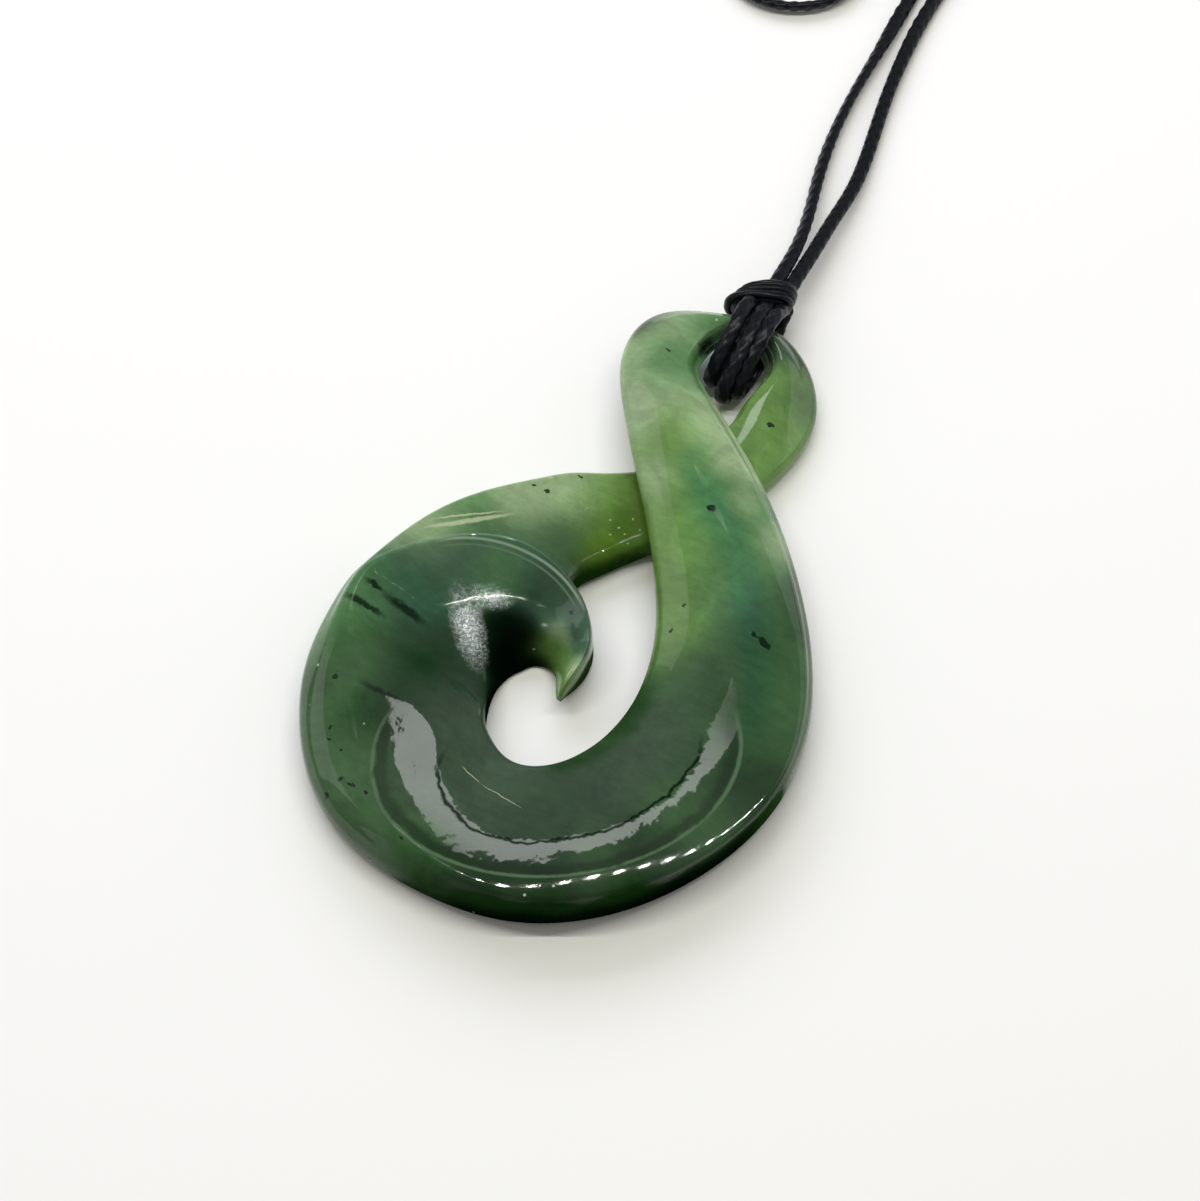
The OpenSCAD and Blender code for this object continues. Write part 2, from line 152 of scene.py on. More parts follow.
def route_path(route):
    """Even points in metres along a cord's route given in millimetres, and their distances."""
    rows = [(*row, CORD_LOW)[:3] for row in route]
    fine = spline(rows, np.linspace(0, len(rows) - 1, 40 * len(rows)), ends_exact=True)
    return even_path((fine + CORD_SHIFT) * MM, BRAID_STEP)


# Meshes

def rolled_grid(around, along, attribute=None):
    """A grid to be rolled into a tube, with its columns round it and its rows along it.
    Returns the bmesh, the vertices as [row][column] and the attribute's layer."""
    bm = bmesh.new()
    layer = bm.verts.layers.float.new(attribute) if attribute else None
    bmesh.ops.create_grid(bm, x_segments=around, y_segments=along - 1, size=1)
    verts = sorted(bm.verts, key=lambda v: (round(v.co.y * along * 4), v.co.x))
    rows = [verts[i * (around + 1):(i + 1) * (around + 1)] for i in range(along)]
    return bm, rows, layer


def place_rows(bm, rows, points, cap=True):
    """Moves a rolled grid's rows onto sections, welds its seam and closes its ends."""
    for row, section in zip(rows, points):
        for k, v in enumerate(row):
            v.co = section[k % (len(row) - 1)]
    bmesh.ops.weld_verts(bm, targetmap={row[-1]: row[0] for row in rows})
    if cap:
        ends = [e for e in bm.edges if e.is_boundary]
        bmesh.ops.holes_fill(bm, edges=ends, sides=0)
    bmesh.ops.recalc_face_normals(bm, faces=bm.faces[:])


def add_object(name, data):
    """A new object in the scene."""
    thing = bpy.data.objects.new(name, data)
    bpy.context.scene.collection.objects.link(thing)
    return thing


def finish_piece(name, bm, material, nodes=()):
    """Turns a bmesh into a piece that rides on the body and stands for CAD nodes."""
    mesh = bpy.data.meshes.new(name)
    bm.to_mesh(mesh)
    bm.free()
    mesh.polygons.foreach_set("use_smooth", [True] * len(mesh.polygons))
    mesh.materials.append(material)
    piece = add_object(name, mesh)
    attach(piece, "root")
    if nodes:
        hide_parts(*nodes)
    return piece


# Materials

class Graph:
    """A material's nodes, with short ways to add and join them."""

    def __init__(self, name):
        self.material = bpy.data.materials.new(name)
        self.material.use_nodes = True
        self.tree = self.material.node_tree

    def fill(self, socket, value):
        """Links a socket to another one, or sets it to a constant."""
        if isinstance(value, bpy.types.NodeSocket):
            self.tree.links.new(value, socket)
        else:
            socket.default_value = value

    def shade(self, **inputs):
        """Fills inputs of the Principled shader by name."""
        shader = self.tree.nodes["Principled BSDF"]
        for key, value in inputs.items():
            self.fill(shader.inputs[key.replace("_", " ")], value)

    def add(self, kind, *inputs, **values):
        """A node with its properties and inputs filled by name, then its inputs in order."""
        node = self.tree.nodes.new("ShaderNode" + kind)
        for key, value in values.items():
            if hasattr(node, key):
                setattr(node, key, value)
            else:
                self.fill(node.inputs[key.replace("_", " ")], value)
        for socket, value in zip(node.inputs, inputs):
            self.fill(socket, value)
        return node

    def place(self):
        """Object coordinates."""
        return self.add("TexCoord").outputs["Object"]

    def attribute(self, name, output="Fac"):
        """An attribute of the mesh."""
        return self.add("Attribute", attribute_name=name).outputs[output]

    def noise(self, coords, **values):
        """A noise texture."""
        return self.add("TexNoise", Vector=coords, **values).outputs["Fac"]

    def calc(self, operation, *numbers):
        """The result of an operation on numbers."""
        return self.add("Math", *numbers, operation=operation).outputs[0]

    def ramp(self, value, *stops):
        """A grey ramp on a value, as (position, grey) stops."""
        node = self.add("ValToRGB", value)
        elements = node.color_ramp.elements
        while len(elements) < len(stops):
            elements.new(0.5)
        for element, (at, grey) in zip(elements, stops):
            element.position = at
            element.color = (grey, grey, grey, 1)
        return node.outputs["Color"]

    def mix(self, factor, first, second, blend="MIX"):
        """A mix of two colours."""
        node = self.add("Mix", data_type="RGBA", blend_type=blend)
        for index, value in ((0, factor), (6, first), (7, second)):
            self.fill(node.inputs[index], value)
        return node.outputs[2]

    def times(self, first, second):
        """Two colours or masks multiplied."""
        return self.mix(1, first, second, "MULTIPLY")

    def shaken(self, coords, scale, reach):
        """Coordinates moved about by noise, by up to half of reach each way."""
        noise = self.add("TexNoise", Vector=coords, Scale=scale, Detail=3, Roughness=0.65)
        moved = self.add("VectorMath", noise.outputs["Color"], (reach, reach, 0), coords,
                         operation="MULTIPLY_ADD")
        return self.add("VectorMath", moved.outputs[0], (reach / 2, reach / 2, 0),
                        operation="SUBTRACT").outputs[0]

    def nearest(self, coords, marks):
        """Distance to the nearest mark, in the marks' own half sizes."""
        nearest = None
        for x, y, length, width, turn in marks:
            place = self.add("Mapping", coords, (x * MM, y * MM, MARK_MIDDLE),
                             (0, 0, math.radians(turn)), (length * MM, width * MM, MARK_DEPTH),
                             vector_type="TEXTURE")
            away = self.add("VectorMath", place.outputs[0], operation="LENGTH").outputs["Value"]
            nearest = away if nearest is None else self.calc("MINIMUM", nearest, away)
        return nearest

    def patches(self, coords, marks, core, strength=1):
        """Strength in the core of each mark, and less from there to nought at the mark's edge."""
        return self.ramp(self.nearest(coords, marks), (core, strength), (1, 0))

    def line(self, coords, ellipse, mask, half):
        """1 on an ellipse inside a mask; half the line's width is a share of the ellipse."""
        off = self.calc("ABSOLUTE", self.calc("SUBTRACT", self.nearest(coords, [ellipse]), 1))
        return self.times(self.ramp(off, (half * 0.4, 1), (half, 0)), mask)


# Painted shade of the cord's grooves and painted sheen of its crowns, as shares of its colour
GROOVE_SHADE_TONE, CROWN_SHEEN_TONE = (0.25, 0.25, 0.25), (1.6, 1.7, 2)


def cord_material(settings):
    """Black waxed braid: fine fibres, a soft wax sheen, painted shade in its grooves and painted sheen
    on its crowns. All the cord's pieces share it.
    """
    name = "Black waxed cord"
    if name in bpy.data.materials:
        return bpy.data.materials[name]
    graph = Graph(name)
    dust = graph.noise(graph.place(), Scale=900, Detail=4, Roughness=0.6)
    # From painted shade in the grooves to painted sheen on the crowns, with dust
    dust_shade_and_sheen = graph.calc("MULTIPLY_ADD", dust, 0.5, graph.attribute("crown"))
    tone = graph.add("ValToRGB", graph.calc("MULTIPLY", dust_shade_and_sheen, 0.7))
    for element, shares in zip(tone.color_ramp.elements, (GROOVE_SHADE_TONE, CROWN_SHEEN_TONE)):
        element.color = (*(part * share for part, share in zip(settings.colour, shares)), 1)
    bump = graph.add("Bump", Strength=0.35, Distance=0.05 * MM, Height=dust)
    graph.shade(Base_Color=tone.outputs["Color"], Roughness=0.32, Specular_IOR_Level=0.25,
                Specular_Tint=(0.85, 0.92, 1, 1), Normal=bump.outputs["Normal"])
    return graph.material


# Cord

# Shift of the cord's places and height where they have none, in millimetres
CORD_SHIFT, CORD_LOW = (-0.52, 0.22, 0), 0.85
LEFT_ROUTE = [
    (-0.7, 37.2, 3.4), (-0.7, 40.5, 3.1), (-0.9, 44, 2.6), (-1.7, 48.5, 1.8), (-2.8, 53, 1.2),
    (-3.9, 59), (-4.3, 66), (-4.2, 73), (-4.2, 80), (-3.6, 92), (-2, 104), (0, 116), (0.5, 128),
    (-1.5, 141), (-9, 148), (-16.5, 141), (-17.5, 128), (-15.5, 116), (-12.5, 104), (-10.6, 94),
    (-10, 86), (-10.2, 80.5), (-11.6, 76.2), (-14.7, 73.7), (-18.5, 72.8), (-23, 74.4), (-26, 78.6),
    (-27.4, 85), (-28, 92, 1.4), (-28, 97, 1.8),
]
RIGHT_ROUTE = [
    (0.85, 38, 3.4), (0.85, 40.5, 3.1), (0.9, 44, 2.6), (0.8, 48.8, 1.9), (0.9, 54, 1.3), (0.1, 60),
    (-1, 66.5), (-1.6, 73), (-1.8, 80), (-0.6, 92), (3, 104), (7.5, 116), (11.5, 128), (12.5, 141),
    (7.5, 153), (-3, 159.2), (-15.5, 159.5), (-26.5, 154.2), (-33, 143), (-34.8, 130), (-32.6, 117),
    (-29, 108, 1.4), (-28, 103, 1.8),
]
# The braid: points round it, step along it, strands each way, and a plait's length and depth
BRAID_SIDES, BRAID_STEP = 24, 0.14 * MM
PLAITS, PLAIT_STEP, RELIEF = 4, 0.75 * MM, 0.15 * MM
# A strand: how round it is, how far it rises over the others, and the level of the grooves
STRAND_ROUND, STRAND_WEAVE, GROOVE_LEVEL = 3.2, 0.55, 0.5
# Run of the neck cord for a radian of its slow and its quick sway, and run before it sways fully
SLOW_SWAY, QUICK_SWAY, SWAY_START = 11 * MM, 4.7 * MM, 14 * MM
# The two halves: piece, route, node, mean roll and swing of the roll, in radians
HALVES = [
    ("neck_cord_braid_left", LEFT_ROUTE, "neck_cord_left", 0.35, 0.9),
    ("neck_cord_braid_right", RIGHT_ROUTE, "neck_cord_right", 0, 0.55),
]


def braid_crowns(turn, along):
    """Height of a round braid's strands, from 0 in its grooves to 1 on its crowns."""
    a = turn * PLAITS + along / PLAIT_STEP / 2
    b = turn * PLAITS - along / PLAIT_STEP / 2
    i, j = np.floor(a), np.floor(b)
    over_a = np.cos(np.pi * (b - 0.5 + i))
    over_b = -np.cos(np.pi * (a - 0.5 + j))
    strand_a = np.sqrt(1 - STRAND_ROUND * (a - i - 0.5) ** 2) + STRAND_WEAVE * over_a
    strand_b = np.sqrt(1 - STRAND_ROUND * (b - j - 0.5) ** 2) + STRAND_WEAVE * over_b
    top = 1 + STRAND_WEAVE - GROOVE_LEVEL
    return np.clip((np.maximum(strand_a, strand_b) - GROOVE_LEVEL) / top, 0, 1)


def frames_along(path, up=(0, 0, 1), side=None):
    """Side and upper direction at each point of a path."""
    ahead = np.gradient(path, axis=0)
    ahead /= np.linalg.norm(ahead, axis=1)[:, None]
    side = np.cross(ahead, np.asarray(up, float)) if side is None else np.tile(side, (len(path), 1))
    side = side / np.linalg.norm(side, axis=1)[:, None]
    return side, np.cross(side, ahead)


def braid_sections(path, along, settings, twist, **form):
    """Sections of a flattened braid whose flat side turns by twist along the path."""
    side, above = frames_along(path, **form)
    turn = np.arange(BRAID_SIDES) / BRAID_SIDES
    crown = braid_crowns(turn[None, :], along[:, None])
    angle = 2 * np.pi * turn[None, :]
    dip = RELIEF * (1 - crown)
    x = (settings.width / 2 - dip) * np.cos(angle)
    y = (settings.thickness / 2 - dip) * np.sin(angle)
    roll = twist[:, None]
    across = x * np.cos(roll) - y * np.sin(roll)
    rise = x * np.sin(roll) + y * np.cos(roll)
    offset = side[:, None, :] * across[..., None] + above[:, None, :] * rise[..., None]
    return path[:, None, :] + offset, crown


def braid_tube(sections, crown):
    """A closed bmesh tube on sections, with its crowns kept as an attribute."""
    bm, rows, layer = rolled_grid(sections.shape[1], sections.shape[0], "crown")
    for row, values in zip(rows, crown):
        for k, v in enumerate(row):
            v[layer] = values[k % (len(row) - 1)]
    place_rows(bm, rows, sections)
    return bm


def braid_piece(name, path, along, settings, twist, nodes, **form):
    """A flattened braid along a path, as a piece of the waxed cord."""
    bm = braid_tube(*braid_sections(path, along, settings, twist, **form))
    return finish_piece(name, bm, cord_material(settings), nodes)


class PENDANT_OT_neck_cord(bpy.types.Operator):
    """Lays the two halves of the braided neck cord from the binding to the knot"""

    bl_idname = "pendant.neck_cord"
    bl_label = "Neck cord"

    def execute(self, context):
        settings = context.scene.pendant_cord
        bundle = [o for o in bpy.data.objects if o.name.startswith(("cord_turn_", "binding_"))]
        knot = [bpy.data.objects["knot_wraps"]]
        for (name, route, node, start, swing), others in zip(HALVES, (bundle, knot)):
            path, along = route_path(route)
            sway = np.sin(along / SLOW_SWAY) + 0.5 * np.sin(along / QUICK_SWAY + 1)
            twist = (start + swing * sway) * np.clip(along / SWAY_START, 0, 1)
            piece = braid_piece(name, path, along, settings, twist, [node])
        return {"FINISHED"}


# Three turns of cord side by side, over the stone's top edge and down through its hole
TURN_PATH = [
    (0, 35.4, 4), (0, 34.6, 4.5), (0, 33.5, 5.4), (0, 32.2, 5.95), (0, 30.8, 6), (0, 29.2, 5.7),
    (-0.1, 27.7, 5), (-0.2, 26.4, 4.1), (-0.3, 25.5, 3.1), (-0.3, 25.2, 2.1), (-0.3, 25.9, 1.25),
    (-0.2, 27.3, 0.95), (-0.1, 29, 0.9), (0, 30.8, 0.95), (0, 32.4, 1.15), (0, 33.6, 1.6),
    (0, 34.6, 2.3), (0, 35.4, 2.9),
]
# Each turn: its place across the bundle, its roll, and how far it slips down and sideways
TURNS = [(-1.5, 0.1, -0.3, 0.05), (0, -0.15, 1, 0.35), (1.5, 0.2, -0.1, -0.1)]
# Swing of a turn's roll in radians, and run of cord for a radian of that swing's wave
ROLL_SWING, ROLL_WAVE = 0.2, 3.1 * MM


class PENDANT_OT_turns(bpy.types.Operator):
    """Lays three turns of braided cord through the stone's hole"""

    bl_idname = "pendant.turns"
    bl_label = "Turns through the hole"

    def execute(self, context):
        settings = context.scene.pendant_cord
        nodes = ["hole_turns"]
        for number, (across, roll, slip, slide) in enumerate(TURNS, 1):
            route = np.array(TURN_PATH, float)
            middle = np.sin(np.pi * np.arange(len(route)) / (len(route) - 1)) ** 2
            route[:, 0] += across + slide * middle
            route[:, 1] -= slip * middle
            path, along = route_path(route)
            twist = roll + ROLL_SWING * np.sin(along / ROLL_WAVE + number)
            braid_piece(f"cord_turn_{number}", path, along, settings, twist, nodes, side=(1, 0, 0))
            nodes = []
        return {"FINISHED"}


# The binding's middle, width and thickness, as shares of its size, from the turns to the neck cord
BIND_SHAPE = [(-0.12, 0.98, 0.92), (-0.17, 1, 1), (-0.11, 0.82, 0.97), (-0.05, 0.66, 0.8)]
# Its size aside, along and upward, its start, height and lean, and the x about which it leans
BIND_SIZE = (6.2, 3, 4.4)
BIND_Y, BIND_Z, BIND_LEAN, BIND_MID_X = 34.1, 3.4, 0.42, -1.15
# Its turns, and the power that squares its oval sections
BIND_TURNS, BIND_SQUARE = 5, 0.75
# How unevenly the thread is pulled in, and how many radians that swings from end to end
PULL, PULL_SWING = 0.35, 9.7
# The thread: points round it, its own strands, their rise, and their turn from step to step
THREAD_SIDES, THREAD_STRANDS, THREAD_RISE, THREAD_TURN = 12, 3, 0.08, 0.35
THREAD_STEP = 0.2 * MM
# The plain core under the thread: points round it, its sections and how far it is set in
CORE_SIDES, CORE_SECTIONS, CORE_INSET = 24, (0.06, 0.2, 0.4, 0.6, 0.8, 0.94), 1.4


def bind_point(s, angle, inset):
    """A point on the binding, s along it and angle round it, set in by inset."""
    middle, wide, thick = spline(BIND_SHAPE, s * (len(BIND_SHAPE) - 1), ends_exact=True)[0]
    c, d = (math.copysign(abs(v) ** BIND_SQUARE, v) for v in (math.cos(angle), math.sin(angle)))
    x = BIND_SIZE[0] * middle + (BIND_SIZE[0] / 2 * wide - inset) * c
    z = BIND_Z + (BIND_SIZE[2] / 2 * thick - inset) * d
    y = BIND_Y + BIND_SIZE[1] * s + BIND_LEAN * (x - BIND_MID_X)
    return (x + CORD_SHIFT[0], y + CORD_SHIFT[1], z + CORD_SHIFT[2])


def thread_tube(path, radius):
    """A closed tube along a path, with the thread's twisted strands as low ridges."""
    ahead = np.gradient(path, axis=0)
    ahead /= np.linalg.norm(ahead, axis=1)[:, None]
    side = np.cross(ahead[0], (0.3, 1, 0.2))
    angle = 2 * np.pi * np.arange(THREAD_SIDES) / THREAD_SIDES
    sections, crown = [], []
    for i, (point, way) in enumerate(zip(path, ahead)):
        side = side - way * side.dot(way)
        side /= np.linalg.norm(side)
        above = np.cross(way, side)
        ridge = np.cos(THREAD_STRANDS * angle + i * THREAD_TURN)
        reach = radius * (1 + THREAD_RISE * ridge)[:, None]
        round_it = np.cos(angle)[:, None] * side + np.sin(angle)[:, None] * above
        sections.append(point + reach * round_it)
        crown.append(0.5 + 0.5 * ridge)
    return braid_tube(np.array(sections), np.array(crown))


class PENDANT_OT_binding(bpy.types.Operator):
    """Winds thread round the turns and the two ends of the neck cord"""

    bl_idname = "pendant.binding"
    bl_label = "Binding"

    def execute(self, context):
        settings = context.scene.pendant_cord
        material = cord_material(settings)
        radius = settings.thread / 2
        inset = radius / MM
        steps = np.linspace(0, 1, 64 * BIND_TURNS)
        edge = inset / BIND_SIZE[1]
        wound = [bind_point(edge + (1 - 2 * edge) * t, -2 * math.pi * BIND_TURNS * t,
                            inset * (1 - PULL * math.sin(PULL_SWING * t + 1))) for t in steps]
        path, _ = even_path(np.array(wound) * MM, THREAD_STEP)
        finish_piece("binding_thread", thread_tube(path, radius), material,
                     ["binding"])
        core = [[bind_point(s, -2 * math.pi * k / CORE_SIDES, CORE_INSET * inset)
                 for k in range(CORE_SIDES)] for s in CORE_SECTIONS]
        core = np.array(core) * MM
        bm = braid_tube(core, np.zeros(core.shape[:2]))
        finish_piece("binding_core", bm, material)
        return {"FINISHED"}


# The knot: its turns, and how far their middles are set in at the sides and ends, in half widths
KNOT_TURNS, KNOT_SIDE_INSET, KNOT_END_INSET = 4, 0.92, 0.9


class PENDANT_OT_knot(bpy.types.Operator):
    """Ties the plain knot that closes the neck cord"""

    bl_idname = "pendant.knot"
    bl_label = "Knot"

    def execute(self, context):
        settings = context.scene.pendant_cord
        low, high = (np.array(corner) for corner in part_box("back_knot"))
        middle, length = (low + high) / 2, high[1] - low[1]
        half_width = length / KNOT_TURNS / 2
        reach = (high[0] - low[0]) / 2 - KNOT_SIDE_INSET * half_width
        end = KNOT_END_INSET * half_width
        t = np.linspace(0, 1, 60 * KNOT_TURNS)
        angle = 2 * np.pi * KNOT_TURNS * t
        coil = np.stack([middle[0] + reach * np.cos(angle), low[1] + end + (length - 2 * end) * t,
                         middle[2] + reach * np.sin(angle)], axis=1)
        path, along = even_path(coil, BRAID_STEP)
        level = np.zeros(len(path))
        braid_piece("knot_wraps", path, along, settings, level, ["back_knot"], up=(0, 1, 0))
        return {"FINISHED"}


# Stone

# One section a row, from the curl's tip to the far end of the lower arm, in millimetres: left
# edge x and y, crown x and y, width outside the crown, then the heights of the underside,
# left edge, middle, crown, crown's foot and right edge, the rounding of the top edges, and
# the height at which the top is cut flat.
BAND = [
    (0.6, -11.7, 1.1, -11.8, 0.2, 2, 2.7, 3.2, 3.3, 3, 2.7, 0.3, 9),
    (0, -10.5, 1.2, -11, 0.2, 1.7, 2.1, 3.6, 4.2, 3.7, 2.9, 0.4, 9),
    (-0.6, -9.5, 1.6, -9.6, 0.2, 1.2, 1.5, 3.9, 5, 4.4, 3.1, 0.5, 9),
    (-1.6, -8.8, 1.7, -7.3, 0.2, 0.6, 1.1, 3.7, 5.6, 4.8, 3.2, 0.6, 7),
    (-2.6, -8.8, 0.8, -5.2, 0.3, 0.1, 0.9, 4, 6, 5, 3.4, 0.7, 5.6),
    (-3.4, -9.2, -1, -3.2, 0.3, 0, 0.9, 4.9, 6.2, 4.6, 3.4, 0.8, 4.5),
    (-3.8, -9.9, -3.6, -1.7, 0.3, 0, 0.9, 5.6, 6.4, 3.9, 3.4, 0.8, 4.15),
    (-4.5, -10.8, -7.4, -0.5, 0.3, 0, 1, 5.8, 6.5, 4, 3.4, 0.8, 3.95),
    (-4.8, -11.9, -11.1, -1, 0.3, 0, 1.2, 6.2, 6.5, 4.2, 3.4, 0.8, 3.85),
    (-4.9, -13.2, -14.6, -2.8, 0.3, 0, 2.6, 6.6, 6.5, 4.7, 3.4, 0.8, 3.8),
    (-4.6, -14.9, -17.6, -5.5, 0.3, 0, 3.9, 6.4, 6.4, 5.3, 3.8, 0.8, 3.8),
    (-4.1, -16.3, -20, -9, 2, 0, 4.3, 6.3, 6.3, 5.8, 4.4, 0.9, 4.3),
    (-3.4, -17.5, -19.7, -13.6, 2.4, 0, 4.5, 6.2, 6.2, 5.9, 4.4, 1, 5.5),
    (-2.4, -18.4, -17.4, -18.9, 4, 0, 4.6, 6.5, 5.9, 5.7, 4.4, 1, 6.45),
    (-1.4, -19.1, -13.6, -23.8, 4.9, 0, 4.8, 6.8, 5.7, 5.5, 4.4, 1, 6.45),
    (-0.3, -19.6, -9.1, -28.7, 4, 0, 4.9, 6.55, 5.95, 5.7, 4.5, 1, 6.45),
    (1.2, -19.7, -2.1, -31.8, 1.7, 0, 4.9, 6.31, 6.35, 6, 4.9, 1, 6.45),
    (3.1, -18.9, 6.4, -32, 0.6, 0, 4.9, 6.32, 6.28, 6, 5.1, 1, 6.45),
    (5.1, -16.9, 14.3, -27.4, 0.4, 0, 4.9, 6.36, 6.08, 5.8, 5.1, 1.1, 6.45),
    (6.6, -13.7, 19.8, -20.4, 0.3, 0, 4.7, 6.13, 5.8, 5.5, 5, 1.2, 6.45),
    (7.2, -9.9, 22.6, -12.3, 0.4, 0, 4.6, 6.06, 5.45, 5.2, 4.8, 1.4, 6.45),
    (6.9, -5.9, 21.3, -3.6, 1.1, 0, 4.6, 6.3, 5.5, 5.2, 4.5, 1.5, 6.8),
    (5.4, -0.8, 16.4, 5.2, 1.3, 0.9, 5, 7, 6, 5.6, 4.6, 1.5, 9),
    (1.6, 5.5, 10.2, 12, 1.4, 3.2, 6, 7.8, 6.7, 6.3, 5.6, 1.3, 9),
    (-2.8, 11.2, 3.6, 17.6, 1.4, 4.1, 6.4, 8, 6.9, 6.5, 5.8, 1.2, 9),
    (-6.7, 16.7, -2, 22, 1.1, 3.8, 6.2, 7.6, 6.7, 6.3, 5.4, 1.2, 9),
    (-10.2, 22.6, -3.9, 24.8, 1.1, 3.3, 5.5, 6.7, 6, 5.5, 4.6, 1.2, 9),
    (-9.9, 28.7, -3.6, 28.6, 1.1, 2.6, 4.8, 5.6, 5.1, 4.6, 3.8, 1.1, 9),
    (-5.2, 31.6, -2.5, 30.6, 1.1, 2.2, 4.3, 5, 4.7, 4.2, 3.4, 0.9, 9),
    (-1, 33, -0.4, 31.1, 1.1, 2.1, 4.1, 4.8, 4.6, 4.1, 3.2, 0.8, 9),
    (3.3, 32.6, 2.1, 30.8, 1.1, 2, 3.9, 4.6, 4.5, 4, 3, 0.9, 9),
    (7.2, 30, 3.9, 28.3, 1, 1.2, 3.3, 4.3, 4.3, 3.9, 2.7, 1.1, 9),
    (9.4, 25.7, 3, 24.7, 1, 0.2, 2.6, 4, 4.1, 3.8, 2.6, 1.1, 9),
    (8.9, 19.7, 3.1, 21.7, 1, 0, 3, 3.7, 3.8, 3.4, 2.4, 0.8, 9),
    (5.9, 12, 0.9, 16.7, 1.2, 0, 3, 3.5, 3.4, 3, 2.4, 0.8, 9),
    (2.1, 7.3, -2.7, 12.4, 1.1, 0, 3, 3.5, 3.4, 3, 2.4, 0.8, 9),
    (-2.2, 1.5, -7.9, 9.7, 1.1, 0, 3.1, 3.7, 3.6, 3.2, 2.5, 0.8, 9),
]
# Columns of the width outside the crown and of the underside
OUT, UNDER = 4, 5
# Rows where the arm's join to the disc starts and ends and where the disc ends, and the sections
# drawn for each row of the curl, the disc and the arm
CROTCH_ROW, SPLIT_ROW, DISC_END_ROW = 6, 11, 22
CURL_STEPS, DISC_STEPS, ARM_STEPS = 2, 4, 3
# Points round a section, and the numbers of the left top edge, crown, crown's foot and heel
RING_N = 32
LEFT_TOP, CROWN_PT, FOOT_PT, HEEL_PT = 6, 15, 16, 22
SIDE_N, BACK_N = HEEL_PT - FOOT_PT, RING_N - HEEL_PT
# Sections of the arm's last stretch into the disc, how far its shoulder bows out, and the power
# that moves the bow's middle towards the disc
FAN_N, SHOULDER_BOW, BOW_LATE = 10, 2.1, 1.1
# The flat top: the share of the width where it ends, its dip, and how its points crowd together
SHELF, SHELF_DIP, CROWDING = 0.6, 0.5, 1.5
# Share of a rounding at which its middle lies
CORNER = 0.3
# Most that roundings take: on top, of the crown's distance, the wall and the outer shelf; below,
# in millimetres, of the width and of the wall
ROUND_CROWN, ROUND_WALL, ROUND_SHELF = 0.35, 0.45, 0.7
BASE_MOST, BASE_WIDTH, BASE_WALL = 0.7, 0.2, 0.3
# The foot's distance from the crown: share of the width outside, least and most
FOOT_SHARE, FOOT_LEAST, FOOT_MOST = 0.3, 0.2, 1
# Bulge of the outer shelf and drop at its edge, as shares of its width and of the right wall
OUTER_BULGE, OUTER_DROP = 0.12, 0.1


def band_section(values):
    """The points of one section, round from the back's left edge over the top."""
    lx, ly, cx, cy, out, zb, zl, zm, zc, zf, zr, er, table = values
    crown = math.hypot(cx - lx, cy - ly)
    w = crown + out
    e = min(er, ROUND_CROWN * crown, ROUND_WALL * (zl - zb))
    b = min(BASE_MOST, BASE_WIDTH * w, BASE_WALL * (zl - zb))
    bulge = 2 * zm - (zl + zc) / 2
    foot = crown + max(min(FOOT_SHARE * out, FOOT_MOST), min(out, FOOT_LEAST))
    q = min(er, ROUND_SHELF * (w - foot)) + 0.01
    wall = zb + b
    points = [(b, zb), (CORNER * b, zb + CORNER * b), (0, wall), (0, (wall + zl - e) / 2),
              (0, zl - e), (CORNER * e, zl - CORNER * e)]
    for k in range(CROWN_PT - LEFT_TOP + 1):
        s = 1 - (1 - k / (CROWN_PT - LEFT_TOP)) ** CROWDING
        z = (1 - s) ** 2 * zl + 2 * s * (1 - s) * bulge + s * s * zc
        z = min(z, table - (SHELF_DIP * max(SHELF - s, 0) if zc > table else 0))
        if s > SHELF and zc > table:
            z = max(z, zc - (zc - table) * (1 - s) / (1 - SHELF))
        points.append((e + (crown - e) * s, z))
    points += [(foot, zf), ((foot + w - q) / 2, (zf + zr) / 2 + OUTER_BULGE * (w - foot)),
               (w - q, zr), (w - CORNER * q, zr - CORNER * q - OUTER_DROP * (zr - wall)),
               (w, (zr + wall) / 2), (w, wall)]
    points += [(w - b - (w - 2 * b) * k / BACK_N, zb) for k in range(BACK_N)]
    ax, ay = (cx - lx) / crown, (cy - ly) / crown
    return [(lx + ax * p, ly + ay * p, z) for p, z in points]


